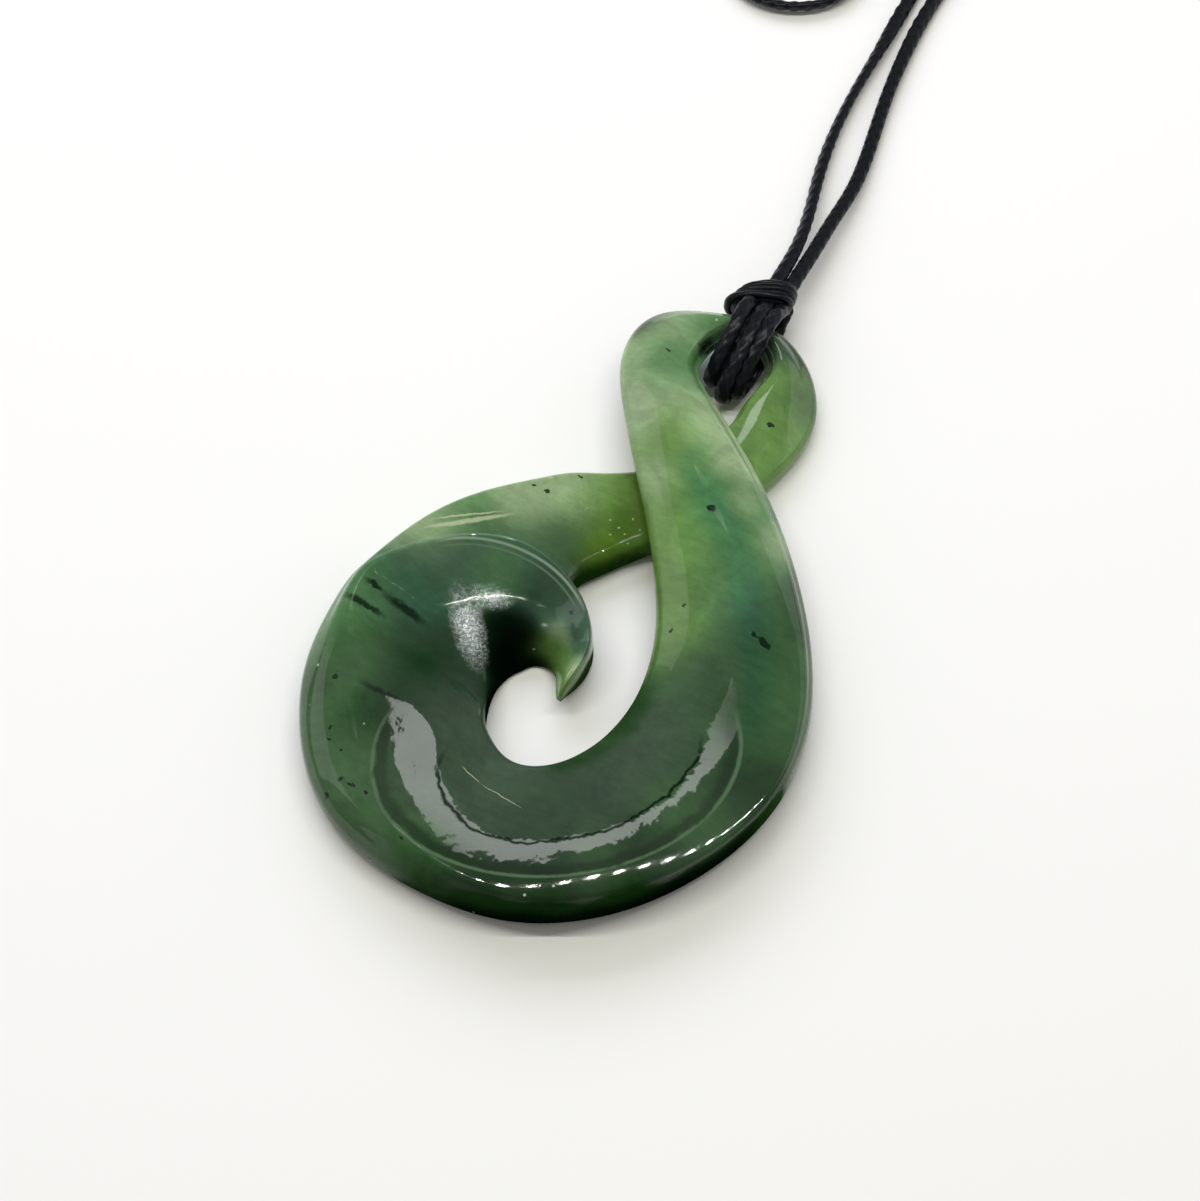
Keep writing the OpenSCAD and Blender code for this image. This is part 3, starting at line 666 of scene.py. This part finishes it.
def band_rings():
    """All sections of the band and, last, the loop of the disc's points that the arm joins."""
    last = len(BAND) - 1
    at = []
    for row in range(last):
        steps = CURL_STEPS if row < SPLIT_ROW else DISC_STEPS if row < DISC_END_ROW else ARM_STEPS
        at += [row + k / steps for k in range(steps)]
    at = np.array(at + [last])
    values = spline(BAND, at)
    values[:, UNDER] = np.maximum(values[:, UNDER], 0)
    curl = at < SPLIT_ROW
    nearest = np.minimum(np.floor(at[curl] + 0.5).astype(int), SPLIT_ROW - 1)
    values[curl, OUT] = np.array(BAND)[nearest, OUT]
    values[~curl, OUT] = spline(BAND[SPLIT_ROW:], at[~curl] - SPLIT_ROW)[:, OUT]
    rings = np.array([band_section(v) for v in values])

    crotch, split = CROTCH_ROW * CURL_STEPS, SPLIT_ROW * CURL_STEPS
    port = [(crotch, HEEL_PT - k) for k in range(SIDE_N)]
    port += [(i, FOOT_PT) for i in range(crotch, split)]
    port += [(split, FOOT_PT + k) for k in range(SIDE_N)]
    port += [(i, HEEL_PT) for i in range(split, crotch, -1)]
    start, end = rings[-1], np.array([rings[i, k] for i, k in port])
    across = end[HEEL_PT] - start[HEEL_PT]
    outward = np.array([across[1], -across[0], 0]) / np.linalg.norm(across[:2])
    k = np.arange(RING_N)
    share = np.where(k < LEFT_TOP, 0, np.where(k <= FOOT_PT, (k - LEFT_TOP) / (FOOT_PT - LEFT_TOP),
                     np.where(k <= HEEL_PT, 1, 1 - (k - HEEL_PT) / BACK_N)))
    fan = []
    for f in range(1, FAN_N + 1):
        t = f / FAN_N
        bow = math.sin(math.pi * t ** BOW_LATE) * SHOULDER_BOW if f < FAN_N else 0
        fan.append(start * (1 - t) + end * t + outward * bow * share[:, None])
    drawn = np.concatenate([rings, fan])
    low, high = drawn.min(axis=(0, 1)), drawn.max(axis=(0, 1))
    real = np.array(STONE_BOX[1]) - np.array(STONE_BOX[0])
    plan, height = real[1] / (high[1] - low[1]), real[2] / (high[2] - low[2])
    middle = np.array([(low[0] + high[0]) / 2, (low[1] + high[1]) / 2, low[2]])
    return (drawn - middle) * (plan, plan, height), port, crotch, split


def band_mesh(levels):
    """The stone's closed surface, smoothed by subdivision."""
    sections, port, crotch, split = band_rings()
    bm, rows, _ = rolled_grid(RING_N, len(sections))
    place_rows(bm, rows, sections, cap=False)
    hidden = [f for i in range(crotch, split) for k in range(FOOT_PT, HEEL_PT)
              for f in rows[i][k].link_faces if rows[i + 1][k + 1] in f.verts]
    bmesh.ops.delete(bm, geom=hidden, context="FACES")
    bmesh.ops.weld_verts(bm, targetmap={rows[-1][k]: rows[i][j] for k, (i, j) in enumerate(port)})
    tip = bmesh.ops.holes_fill(bm, edges=[e for e in bm.edges if e.is_boundary], sides=0)["faces"]
    bmesh.ops.poke(bm, faces=tip)
    bmesh.ops.recalc_face_normals(bm, faces=bm.faces[:])
    cage = bpy.data.meshes.new("cage")
    bm.to_mesh(cage)
    bm.free()
    holder = add_object("cage", cage)
    rounding = holder.modifiers.new("Rounding", "SUBSURF")
    rounding.levels = rounding.render_levels = levels
    bm = bmesh.new()
    bm.from_object(holder, bpy.context.evaluated_depsgraph_get())
    bpy.data.objects.remove(holder)
    bpy.data.meshes.remove(cage)
    return bm


# Soft colour zones of each tint: middle x, y and z in millimetres, and reach
ZONES = {
    # Painted shade: the hollow beside the hole, the foot wall and the hole's sides
    "painted_shade": [
        (-5.5, -8.3, 3.1, 1.5), (-3.5, -8.6, 0.8, 1.2), (-6.1, -10.7, 2.3, 1), (-3, -33.2, 2.2, 2),
        (3.5, -33, 2.4, 2.2), (9.5, -31, 2.4, 2.2), (15, -26.8, 2.4, 2.2), (19.2, -21.6, 2.4, 2),
        (21.4, -17.5, 2.4, 2), (-5.2, -15.2, 1.8, 1.3), (-4.2, -17.8, 2.2, 1.2),
    ],
    # The stone's clear dark green, and painted shade on walls, in the hole and under the crossing arm
    "bottle_and_shade": [
        (22.5, -12.5, 2.4, 2), (4.6, -16.4, 2.6, 1.4), (6.4, -12.6, 2.6, 1.5),
        (6.8, -8.6, 2.6, 1.5), (6, -4, 2.6, 1.5), (3.8, -33, 5, 1.6), (-1.5, -33.4, 4.6, 1.6),
        (9.8, -30.6, 5.2, 1.6), (14.6, -26.4, 5.2, 1.6), (2, -7.8, 1.5, 1.2), (-1.2, 3, 1.2, 1.5),
        (-4.6, 1.8, 1.2, 1.3), (-2.7, 7.1, 3.5, 1), (4.2, -18.3, 5, 0.7), (5.3, -16.8, 5, 0.75),
        (6.1, -15.2, 5, 0.8), (6.8, -13.4, 5, 0.85), (7.2, -11.7, 4.9, 0.85), (7.4, -10, 4.9, 0.85),
        (7.3, -8.4, 4.9, 0.75), (7, -6.8, 4.9, 0.55),
    ],
    "deep": [
        (-12, -20.8, 6.5, 2.4), (-13.3, -15, 5.8, 2.4), (-10.2, -14.1, 5.1, 2.4),
        (2.2, -31.3, 6.4, 2.4), (9.5, -28.6, 6.4, 2.2), (14.3, -22.9, 6.4, 2.4),
        (18.3, -12.4, 6.4, 2.6), (-3.8, 28, 4.3, 0.7), (-9, -32, 2, 2.2), (-1.4, -19.6, 2.6, 1.3),
        (15.8, 5.5, 6, 1.2), (17.2, 3, 5, 1.2), (5.9, -21.6, 5.8, 1.8), (-6, -24, 6.3, 1.6),
    ],
    "smoke": [
        (-6.1, -19.8, 6, 2.6), (-3.8, -3, 5.4, 1.7), (-5.4, -25.6, 6.4, 2.2), (-1, -25.4, 6.3, 2.6),
        (5.9, -21.6, 5.8, 3), (9.2, -16.6, 5.6, 2.6), (12.9, -6.3, 6.1, 2.4), (10.1, -10.6, 5.3, 2),
        (-10.1, 28.1, 4.7, 1.6), (3.9, 31.8, 3.5, 1.8),
    ],
    "moss": [
        (-20, -22.8, 3.6, 2.6), (-17.5, -20.4, 5.7, 2.4), (-11.9, -27.4, 5.6, 2.6),
        (-13.6, -29.7, 4.2, 2.4), (-6.9, -32.6, 4.1, 2.6), (-17.3, -16.1, 6.2, 2.2),
        (-4.1, -32.5, 4.6, 2.6), (-2, -30.7, 6.4, 1.8), (11.7, -25.4, 6.4, 1.6),
        (16.5, -17.6, 6.4, 2.4), (16.6, -7.9, 6.5, 2.6), (18.5, -2.4, 6.3, 2.2),
        (15.7, 0.4, 6.6, 2.4), (10, -6.2, 5.3, 2.2), (15.1, 4.9, 6.4, 2.2), (6.7, 26.9, 3.3, 1.4),
        (-7.2, 3.4, 3.8, 1.6), (-10.7, 2, 4.1, 1.4), (-13.7, -0.1, 4.4, 1.2), (-19.5, -25, 2, 2.2),
        (-14, -29.5, 2, 2.2), (22.6, -8, 2.6, 2), (20.5, -2, 3, 2.2),
    ],
    "teal": [
        (-16.9, -9.6, 5.4, 2.2), (-16.6, -6.2, 5.7, 1.8), (-13.1, -3.2, 5.7, 1.8),
        (-9.1, -1.8, 5.6, 1.8), (-1.2, -5.1, 5.4, 1.6), (12.4, 2, 7, 2), (-3, -3.2, 5.2, 1.4),
    ],
    "jade": [
        (-20.5, -12, 6.2, 2.2), (3.9, 10.1, 7.7, 1.6), (7.2, 9.4, 7.7, 2.2), (9.1, 3.7, 7, 2.2),
        (11.1, 7, 7.2, 2), (1.7, 14.6, 8, 0.8), (-6.4, 22.7, 7, 2), (-4.9, 28.5, 5.4, 1.8),
        (-15.6, 0.4, 4.6, 1.8), (-22.3, -14, 3, 1.8), (-21.8, -18, 2.5, 1.6),
        (-10.2, -2.8, 5.2, 1.3),
    ],
    "leaf": [
        (-1.6, -7.7, 2.5, 1.2), (1, -10.2, 4.2, 0.8), (6.4, -2.9, 4.3, 1.8), (6.4, 1, 5.5, 2.4),
        (4.1, 4.7, 6, 2.4), (1, 8.8, 6.6, 2.2), (-1.6, 14.6, 7.6, 2), (6.9, 20.8, 3.2, 2),
        (5.9, 26.2, 3.8, 2.2), (4.8, 21.8, 3.8, 1.4), (-5.4, 7.4, 3.6, 1.8), (4.2, 0.5, 3.4, 1.2),
    ],
    "olive": [
        (-1.6, 8.9, 3.5, 1.8), (-3.2, 3.9, 3.3, 1.2), (-2.6, 7, 3.4, 1.4),
    ],
    # The stone's milky patches, and painted sheen on the arms, the loop and the disc's rim
    "milky_and_sheen": [
        (-1, 10.8, 6.6, 1.4), (1.5, 17.8, 7.4, 1.7), (4.8, 15.8, 7.1, 1.3), (11.9, 9.5, 6.6, 1.2),
        (7.4, 11.6, 7.4, 0.9), (-6.2, 18, 6.6, 2.2), (-9.1, 22.3, 5.7, 1.6), (-7.4, 28.1, 5.7, 1.6),
        (-9.1, 7, 3.8, 1.8), (-11.7, 3.9, 4.1, 1.6), (-18.2, -2.5, 5.1, 2.2), (0.7, -9.6, 4.7, 0.7),
        (-1.9, -6.6, 4.3, 0.7),
    ],
}
# Marks in the stone stand upright through it, from well below to well above
MARK_MIDDLE, MARK_DEPTH = 4 * MM, 40 * MM
# Dark inclusions: middle x and y, half length and half width in millimetres, and turn in degrees
MARKS = [
    (5.3, 9.8, 0.55, 0.35, 20), (15.3, 0, 0.95, 0.4, -25), (14.2, 0.3, 0.4, 0.3, 0),
    (7, -1.9, 0.25, 0.25, 0), (7, 0.6, 0.25, 0.2, 0), (5.4, 22.8, 0.4, 0.22, 10),
    (-10.1, 6.5, 0.35, 0.3, 0), (-11.5, 6.5, 0.2, 0.2, 0), (-8.2, 9.5, 0.25, 0.15, 0),
    (-6.3, 24.3, 0.35, 0.2, 0), (-17.6, -20, 0.3, 0.2, 0), (-15.6, -24.6, 0.2, 0.2, 0),
    (-15.2, -25.6, 0.25, 0.2, 0), (-13.6, -26.1, 0.16, 0.16, 0), (-12.3, -28.5, 0.35, 0.2, 10),
    (-11.1, -28.6, 0.5, 0.22, -10), (-9.6, -28.7, 0.3, 0.2, 0), (-13, -30, 0.35, 0.25, 0),
    (-4.6, -31.2, 0.25, 0.2, 0), (-1.9, -4.6, 0.2, 0.2, 0),
]
# Carved lines of the foot, and painted highlight lines along the crest, as ellipses, the same way, and
# ellipses that bound them
INNER_LINE = (4.58, -16.88, 12.15, 8.4, 49.8)
OUTER_LINE = (3.58, -17.82, 16.3, 11.71, 35.1)
FOOT_MASK = (7.5, -25, 18, 12, 40)
OUTER_MASK = (27.3, -65.9, 60, 60, 0)
CREST_HIGHLIGHT = (-8.49, -12.76, 11.62, 11.62, 0)
CREST_INNER_HIGHLIGHT = (-8.49, -12.76, 11.1, 11.1, 0)
CREST_MASK = (-8.5, -2, 9.5, 4, 0)
# The arm is cooler beyond this circle, inside this ellipse
ARM_CREASE = (-28, -27, 48.4, 48.4, 0)
ARM_MASK = (8, 1, 17, 7, -52)
# Frosted patches of the scoop: middle and reach
FROST = [((-9.5, -9.5, 4), 2.2), ((-11, -5, 4.5), 1.6), ((-7.5, -13, 4), 1.5)]
# Softly polished places: middle, reach and how much gloss they lose
MATTE = [
    ((16.5, -6.5, 6.5), 3, 0.95), ((15.4, -1, 6.5), 3, 0.9), ((4.6, 11, 7.9), 3.4, 1),
    ((-11.5, -15.2, 5), 1.9, 1), ((-17.6, -8.4, 5.7), 2.3, 1), ((-15, -9.4, 4.7), 1.2, 0.8),
    ((-19, -14.6, 6), 2.2, 1), ((-19.2, -8.4, 6), 1.5, 1), ((-3.6, -31.6, 5.6), 1.8, 0.95),
    ((-0.6, -32.3, 5.8), 1.8, 0.9), ((-5.8, -4.4, 4.1), 1.7, 1), ((-15.2, -9.1, 4.5), 1.8, 1),
    ((-14.4, -22.4, 5.9), 1.5, 0.9), ((-2.6, 4.4, 3.1), 2.4, 1), ((-13.6, -8.6, 4), 1.2, 1),
]
# Painted sheen and highlight streaks on the lower arm and the curl's tip, and light specks and thin
# lines, the same way as the inclusions
SHEEN_STREAKS_AND_SPECKS = [
    (-15, 0, 4.7, 0.3, 41), (-15.4, 0.5, 3.9, 0.12, 38), (0.6, -9.5, 0.9, 0.12, 84),
    (0.9, -9.2, 0.5, 0.08, 80), (-10.6, 8, 0.3, 0.1, 30), (-3.6, 6.6, 0.13, 0.1, 0),
    (-2.5, 6.3, 0.16, 0.1, 50), (-1.7, 6, 0.1, 0.1, 0), (-1.7, 7.7, 0.12, 0.12, 0),
    (-1.1, 5.4, 0.14, 0.1, 20), (-0.7, 7.1, 0.1, 0.1, 0), (-2.9, 5.3, 0.1, 0.12, 0),
    (-2.2, -23.1, 1.3, 0.05, -15), (1.2, -23.7, 2.4, 0.05, -6),
]
# A painted reflection in the scoop, hazy with scratches, the same way
HAZY_REFLECTION = [(-10, -9.4, 4.9, 1.7, -49), (-9.6, -5.9, 2.5, 1.3, 15)]
# Smoky streaks, the same way
STREAKS = [
    (-19, -10.4, 1.2, 0.42, -5), (-15.6, -10.9, 2.8, 0.6, -5), (-18.9, -12.6, 2.7, 0.45, -3),
    (-12.6, -19.9, 3, 0.4, -2), (-3.7, 27.8, 1.6, 0.6, 70),
]
# Colours of what is drawn in the stone
DARK = (0.004, 0.014, 0.006, 1)
COOLER = (0.72, 0.9, 1, 1)
FOOT_TONE = (0.09, 0.15, 0.085, 1)
# Tones of the painted highlight lines along the crest
CREST_HIGHLIGHT_TONE = (0.26, 0.36, 0.27, 1)
CREST_INNER_HIGHLIGHT_TONE = (0.12, 0.2, 0.13, 1)
# Tone of the painted sheen and highlight streaks and of the light specks
GLINT_TONE = (0.5, 0.55, 0.36, 1)
# Tone of the painted reflection in the scoop
HAZY_REFLECTION_TONE = (0.78, 0.84, 0.82, 1)
SPECK_TONE = (0.45, 0.5, 0.42, 1)
LINE_GLOSS = (0.05, 0.05, 0.05, 1)
# Heights count more than distances in plan where the zones blend
ZONE_FLATNESS = 1.4
# Upward part of the normal on steep walls and on the top, and the walls' share of the gloss
WALL_UP, TOP_UP, WALL_GLOSS = 0.35, 0.8, 0.25
# Gloss far from the shaded zones, before it is cut off at 1, and its loss amid them
FULL_GLOSS, DARK_LOSS = 1.2, 2


def bell(points, middle, reach, flatness=1):
    """1 at the middle, falling off round it as a bell over reach."""
    away = (points - middle) * (1, 1, flatness)
    return np.exp(-(away ** 2).sum(axis=1) / (2 * reach ** 2))


def zone_tints(points, settings):
    """A colour at each point, blended from the zones round it, painted shade and sheen among them, and
    the shaded zones' share.
    """
    total = np.zeros((len(points), 3))
    weight = np.zeros(len(points))
    shaded = np.zeros(len(points))
    for tint, zones in ZONES.items():
        for x, y, z, reach in zones:
            share = bell(points, (x, y, z), reach, ZONE_FLATNESS) + 1e-9
            total += share[:, None] * np.array(getattr(settings, tint))
            weight += share
            shaded += share * (tint in ("painted_shade", "bottle_and_shade"))
    return total / weight[:, None], shaded / weight


def clouded(graph, where):
    """The stone's tints with soft clouds and slanting fibres."""
    clouds = graph.noise(where, Scale=170, Detail=6, Roughness=0.65, Distortion=0.8)
    colour = graph.times(graph.attribute("tint", "Color"),
                         graph.ramp(clouds, (0.32, 0.72), (0.5, 0.92), (0.72, 1.18)))
    slant = graph.add("Mapping", Vector=where, Rotation=(0, 0, math.radians(35)), Scale=(1, 3, 1))
    fibres = graph.noise(slant.outputs[0], Scale=480, Detail=6, Roughness=0.75)
    return graph.times(colour, graph.ramp(fibres, (0.35, 0.86), (0.65, 1.07)))


def lined(graph, where, wavy, within, colour):
    """A colour with the arm's crease, the carved lines and the painted highlights along the crest on
    it, and the lines' own mask.
    """
    crease = graph.calc("SUBTRACT", graph.nearest(where, [ARM_CREASE]), 1)
    beyond = graph.times(graph.ramp(crease, (0, 0), (0.02, 1)),
                         graph.patches(where, [ARM_MASK], 0.8))
    colour = graph.mix(beyond, colour, graph.times(colour, COOLER))
    foot = graph.patches(where, [FOOT_MASK], 0.85)
    below = graph.patches(where, [OUTER_MASK], 0.96)
    crest = graph.patches(where, [CREST_MASK], 0.7)
    # Mask of the carved lines and of the painted highlights along the crest
    carved = None
    for coords, ellipse, mask, half, tone in (
            (wavy, INNER_LINE, foot, 0.022, DARK),
            (where, OUTER_LINE, below, 0.016, FOOT_TONE),
            # The last two are painted highlights along the crest
            (where, CREST_HIGHLIGHT, crest, 0.013, CREST_HIGHLIGHT_TONE),
            (where, CREST_INNER_HIGHLIGHT, crest, 0.011, CREST_INNER_HIGHLIGHT_TONE)):
        line = graph.line(coords, ellipse, mask, half)
        colour = graph.mix(line, colour, tone)
        carved = line if carved is None else graph.mix(1, carved, line, "LIGHTEN")
    band = graph.ramp(within, (0.9, 0), (0.94, 0.6), (0.98, 0.6), (1, 0))
    return graph.mix(graph.times(band, below), colour, DARK), carved


def marked(graph, where, colour):
    """A colour with inclusions, smoky streaks, painted sheen and highlight streaks, a painted hazy
    reflection in the scoop and fine specks on it.
    """
    ragged = graph.shaken(where, 1600, 0.9 * MM)
    streaky = graph.shaken(where, 900, 0.4 * MM)
    scratches = graph.noise(where, Scale=2300, Detail=4, Roughness=0.7, Distortion=1.5)
    # A painted reflection in the scoop, broken up by scratches
    hazy_reflection = graph.times(graph.patches(ragged, HAZY_REFLECTION, 0.1, 0.95),
                       graph.ramp(scratches, (0.46, 0.15), (0.6, 1)))
    specks = graph.add("TexVoronoi", Vector=where, Scale=520)
    dots = graph.times(graph.ramp(specks.outputs["Distance"], (0.05, 1), (0.08, 0)),
                       graph.ramp(specks.outputs["Color"], (0.76, 0), (0.78, 1)))
    # Dark inclusions and smoky streaks, then painted sheen and highlight streaks, the painted
    # reflection and the specks
    for mask, tone in ((graph.patches(ragged, MARKS, 0.75, 0.95), DARK),
                       (graph.patches(ragged, STREAKS, 0.45, 0.95), DARK),
                       (graph.patches(streaky, SHEEN_STREAKS_AND_SPECKS, 0.6, 0.7), GLINT_TONE),
                       (hazy_reflection, HAZY_REFLECTION_TONE), (dots, SPECK_TONE)):
        colour = graph.mix(mask, colour, tone)
    return colour


def polish(graph, where, within, carved):
    """Sets gloss, roughness and the fine relief of the polished and the frosted parts."""
    shine = graph.calc("MULTIPLY", graph.attribute("gloss"), 0.5)
    frost = graph.attribute("frost")
    swell = graph.add("Bump", Distance=0.02 * MM, Height=graph.noise(where, Scale=600, Detail=2),
                      Strength=graph.ramp(within, (0.93, 1), (1, 0.12)))
    hairs = graph.add("Bump", Distance=0.04 * MM, Height=graph.noise(where, Scale=3200, Detail=3),
                      Strength=graph.calc("MULTIPLY_ADD", frost, 0.5, 0.03),
                      Normal=swell.outputs["Normal"])
    graph.shade(Specular_IOR_Level=graph.mix(carved, shine, LINE_GLOSS),
                Roughness=graph.calc("MULTIPLY_ADD", frost, 0.05, 0.035),
                Normal=hairs.outputs["Normal"])


def stone_material():
    """Polished nephrite: clouded greens, carved lines, dark inclusions and specks, with painted
    highlights, sheen and a painted reflection.
    """
    graph = Graph("Polished greenstone")
    where = graph.place()
    wavy = graph.shaken(where, 420, 1.4 * MM)
    within = graph.nearest(wavy, [OUTER_LINE])
    colour, carved = lined(graph, where, wavy, within, clouded(graph, where))
    graph.shade(Base_Color=marked(graph, where, colour), IOR=1.61, Subsurface_Weight=0.3,
                Subsurface_Radius=(0.5, 1, 0.35), Subsurface_Scale=1.5 * MM)
    polish(graph, where, within, carved)
    return graph.material


def vectors(items, name):
    """A vector of each item of a mesh, as rows."""
    values = np.empty(len(items) * 3)
    items.foreach_get(name, values)
    return values.reshape(-1, 3)


def paint(mesh, name, kind, field, values):
    """Keeps a value of each vertex as an attribute."""
    mesh.attributes.new(name, kind, "POINT").data.foreach_set(field, values.ravel())


class PENDANT_OT_stone(bpy.types.Operator):
    """Carves the koru from one band that curls, crosses itself and loops back"""

    bl_idname = "pendant.stone"
    bl_label = "Stone"

    def execute(self, context):
        settings = context.scene.pendant_stone
        bm = band_mesh(settings.smoothing)
        piece = finish_piece("koru_stone", bm, stone_material(), ["greenstone"])
        mesh = piece.data
        points = vectors(mesh.vertices, "co") / MM
        # Zone colours, with painted shade on the walls and in the hollow and painted sheen on some tops
        tints, shaded = zone_tints(points, settings)
        frost = sum(bell(points, middle, reach) for middle, reach in FROST)
        upward = vectors(mesh.vertex_normals, "vector")[:, 2]
        level = np.clip((upward - WALL_UP) / (TOP_UP - WALL_UP), 0, 1)
        gloss = np.clip(FULL_GLOSS - DARK_LOSS * shaded, 0, 1) * (WALL_GLOSS + (1 - WALL_GLOSS) * level)
        for middle, reach, loss in MATTE:
            gloss *= 1 - loss * bell(points, middle, reach)
        paint(mesh, "tint", "FLOAT_COLOR", "color", np.hstack([tints, np.ones((len(tints), 1))]))
        paint(mesh, "gloss", "FLOAT", "value", gloss)
        paint(mesh, "frost", "FLOAT", "value", np.clip(frost, 0, 1))
        return {"FINISHED"}


# Stage

LOOK_AT = Vector((-1.373, 0.237, 0)) * MM
EYE = Vector((46.58, -93.88, 198.66)) * MM
# Turn of the view in the plane, and the directions away from the camera and to its right
TURN = math.radians(27)
AHEAD = Vector((-math.sin(TURN), math.cos(TURN), 0))
ASIDE = Vector((math.cos(TURN), math.sin(TURN), 0))
SURFACE_HALF = 1.5
# The row of small lamps: how many, and their step
LEDS, LED_STEP = 24, 0.0225
# Lamps: place aside, ahead and up from the stone and size in metres, brightness and colour
WHITE = (1, 1, 1)
LAMPS = [
    ("Window", (-0.02, 0.36, 0.82), (0.17, 0.11), 3.4, WHITE),
    ("Back fill", (-0.12, 0.62, 0.5), (0.9, 0.45), 3.5, (0.83, 0.84, 1)),
    *(("Strip %02d" % i, ((i - (LEDS - 1) / 2) * LED_STEP, 0.05, 0.45), (0.003, 0.003), 1520,
       (1, 0.99, 0.89)) for i in range(LEDS)),
    ("Left panel", (-0.7, 0.25, 0.35), (0.6, 0.5), 0.6, WHITE),
    ("Right panel", (0.7, 0.25, 0.35), (0.6, 0.5), 0.6, WHITE),
]


def aim(thing, place):
    """Puts a camera or lamp at a place, facing the stone."""
    thing.location = place
    thing.rotation_euler = (LOOK_AT - place).to_track_quat("-Z", "Y").to_euler()


def lamp(name, place, size, radiance, colour):
    """An area lamp that faces the stone."""
    light = bpy.data.lights.new(name, "AREA")
    light.shape = "RECTANGLE"
    light.size, light.size_y = size
    light.energy = radiance * math.pi * size[0] * size[1]
    light.color = colour
    spot = LOOK_AT + ASIDE * place[0] + AHEAD * place[1] + Vector((0, 0, place[2]))
    aim(add_object(name, light), spot)


class PENDANT_OT_stage(bpy.types.Operator):
    """Sets the camera, the pale surface and the lights"""

    bl_idname = "pendant.stage"
    bl_label = "Stage"

    def execute(self, context):
        settings = context.scene.pendant_stage
        camera = add_object("Camera", bpy.data.cameras.new("Camera"))
        aim(camera, EYE)
        camera.data.lens = settings.lens
        camera.data.clip_start = 0.01
        context.scene.camera = camera

        bm = bmesh.new()
        bmesh.ops.create_grid(bm, x_segments=1, y_segments=1, size=SURFACE_HALF)
        mesh = bpy.data.meshes.new("surface")
        bm.to_mesh(mesh)
        bm.free()
        graph = Graph("White table")
        graph.shade(Base_Color=(*settings.floor, 1), Roughness=0.6, Specular_IOR_Level=0.2)
        mesh.materials.append(graph.material)
        add_object("surface", mesh)

        world = bpy.data.worlds.new("Room")
        world.use_nodes = True
        air = world.node_tree.nodes["Background"]
        air.inputs["Color"].default_value = (1, 0.98, 0.9, 1)
        air.inputs["Strength"].default_value = 0.28
        context.scene.world = world
        context.scene.view_settings.view_transform = "Standard"

        for row in LAMPS:
            lamp(*row)
        bpy.data.objects["Back fill"].visible_glossy = False
        return {"FINISHED"}


OPERATORS = (PENDANT_OT_stage, PENDANT_OT_knot, PENDANT_OT_turns, PENDANT_OT_binding,
             PENDANT_OT_neck_cord, PENDANT_OT_stone)
SETTINGS = (StoneSettings, CordSettings, StageSettings)


class PENDANT_PT_pieces(bpy.types.Panel):
    """Lists the pieces of the pendant"""

    bl_idname = "PENDANT_PT_pieces"
    bl_label = "Koru pendant"
    bl_space_type = "VIEW_3D"
    bl_region_type = "UI"
    bl_category = "Pendant"

    def draw(self, context):
        for operator in OPERATORS:
            self.layout.operator(operator.bl_idname)


CLASSES = SETTINGS + OPERATORS + (PENDANT_PT_pieces,)


def register():
    """Registers the classes and hangs the settings on the scene."""
    for cls in CLASSES:
        bpy.utils.register_class(cls)
    bpy.types.Scene.pendant_stone = bpy.props.PointerProperty(type=StoneSettings)
    bpy.types.Scene.pendant_cord = bpy.props.PointerProperty(type=CordSettings)
    bpy.types.Scene.pendant_stage = bpy.props.PointerProperty(type=StageSettings)


def unregister():
    """Takes the settings and the classes away again."""
    del bpy.types.Scene.pendant_stage
    del bpy.types.Scene.pendant_cord
    del bpy.types.Scene.pendant_stone
    for cls in reversed(CLASSES):
        bpy.utils.unregister_class(cls)


def main():
    """Makes the object."""
    register()
    for operator in OPERATORS:
        group, name = operator.bl_idname.split(".")
        getattr(getattr(bpy.ops, group), name)()


if __name__ == "__main__":
    main()
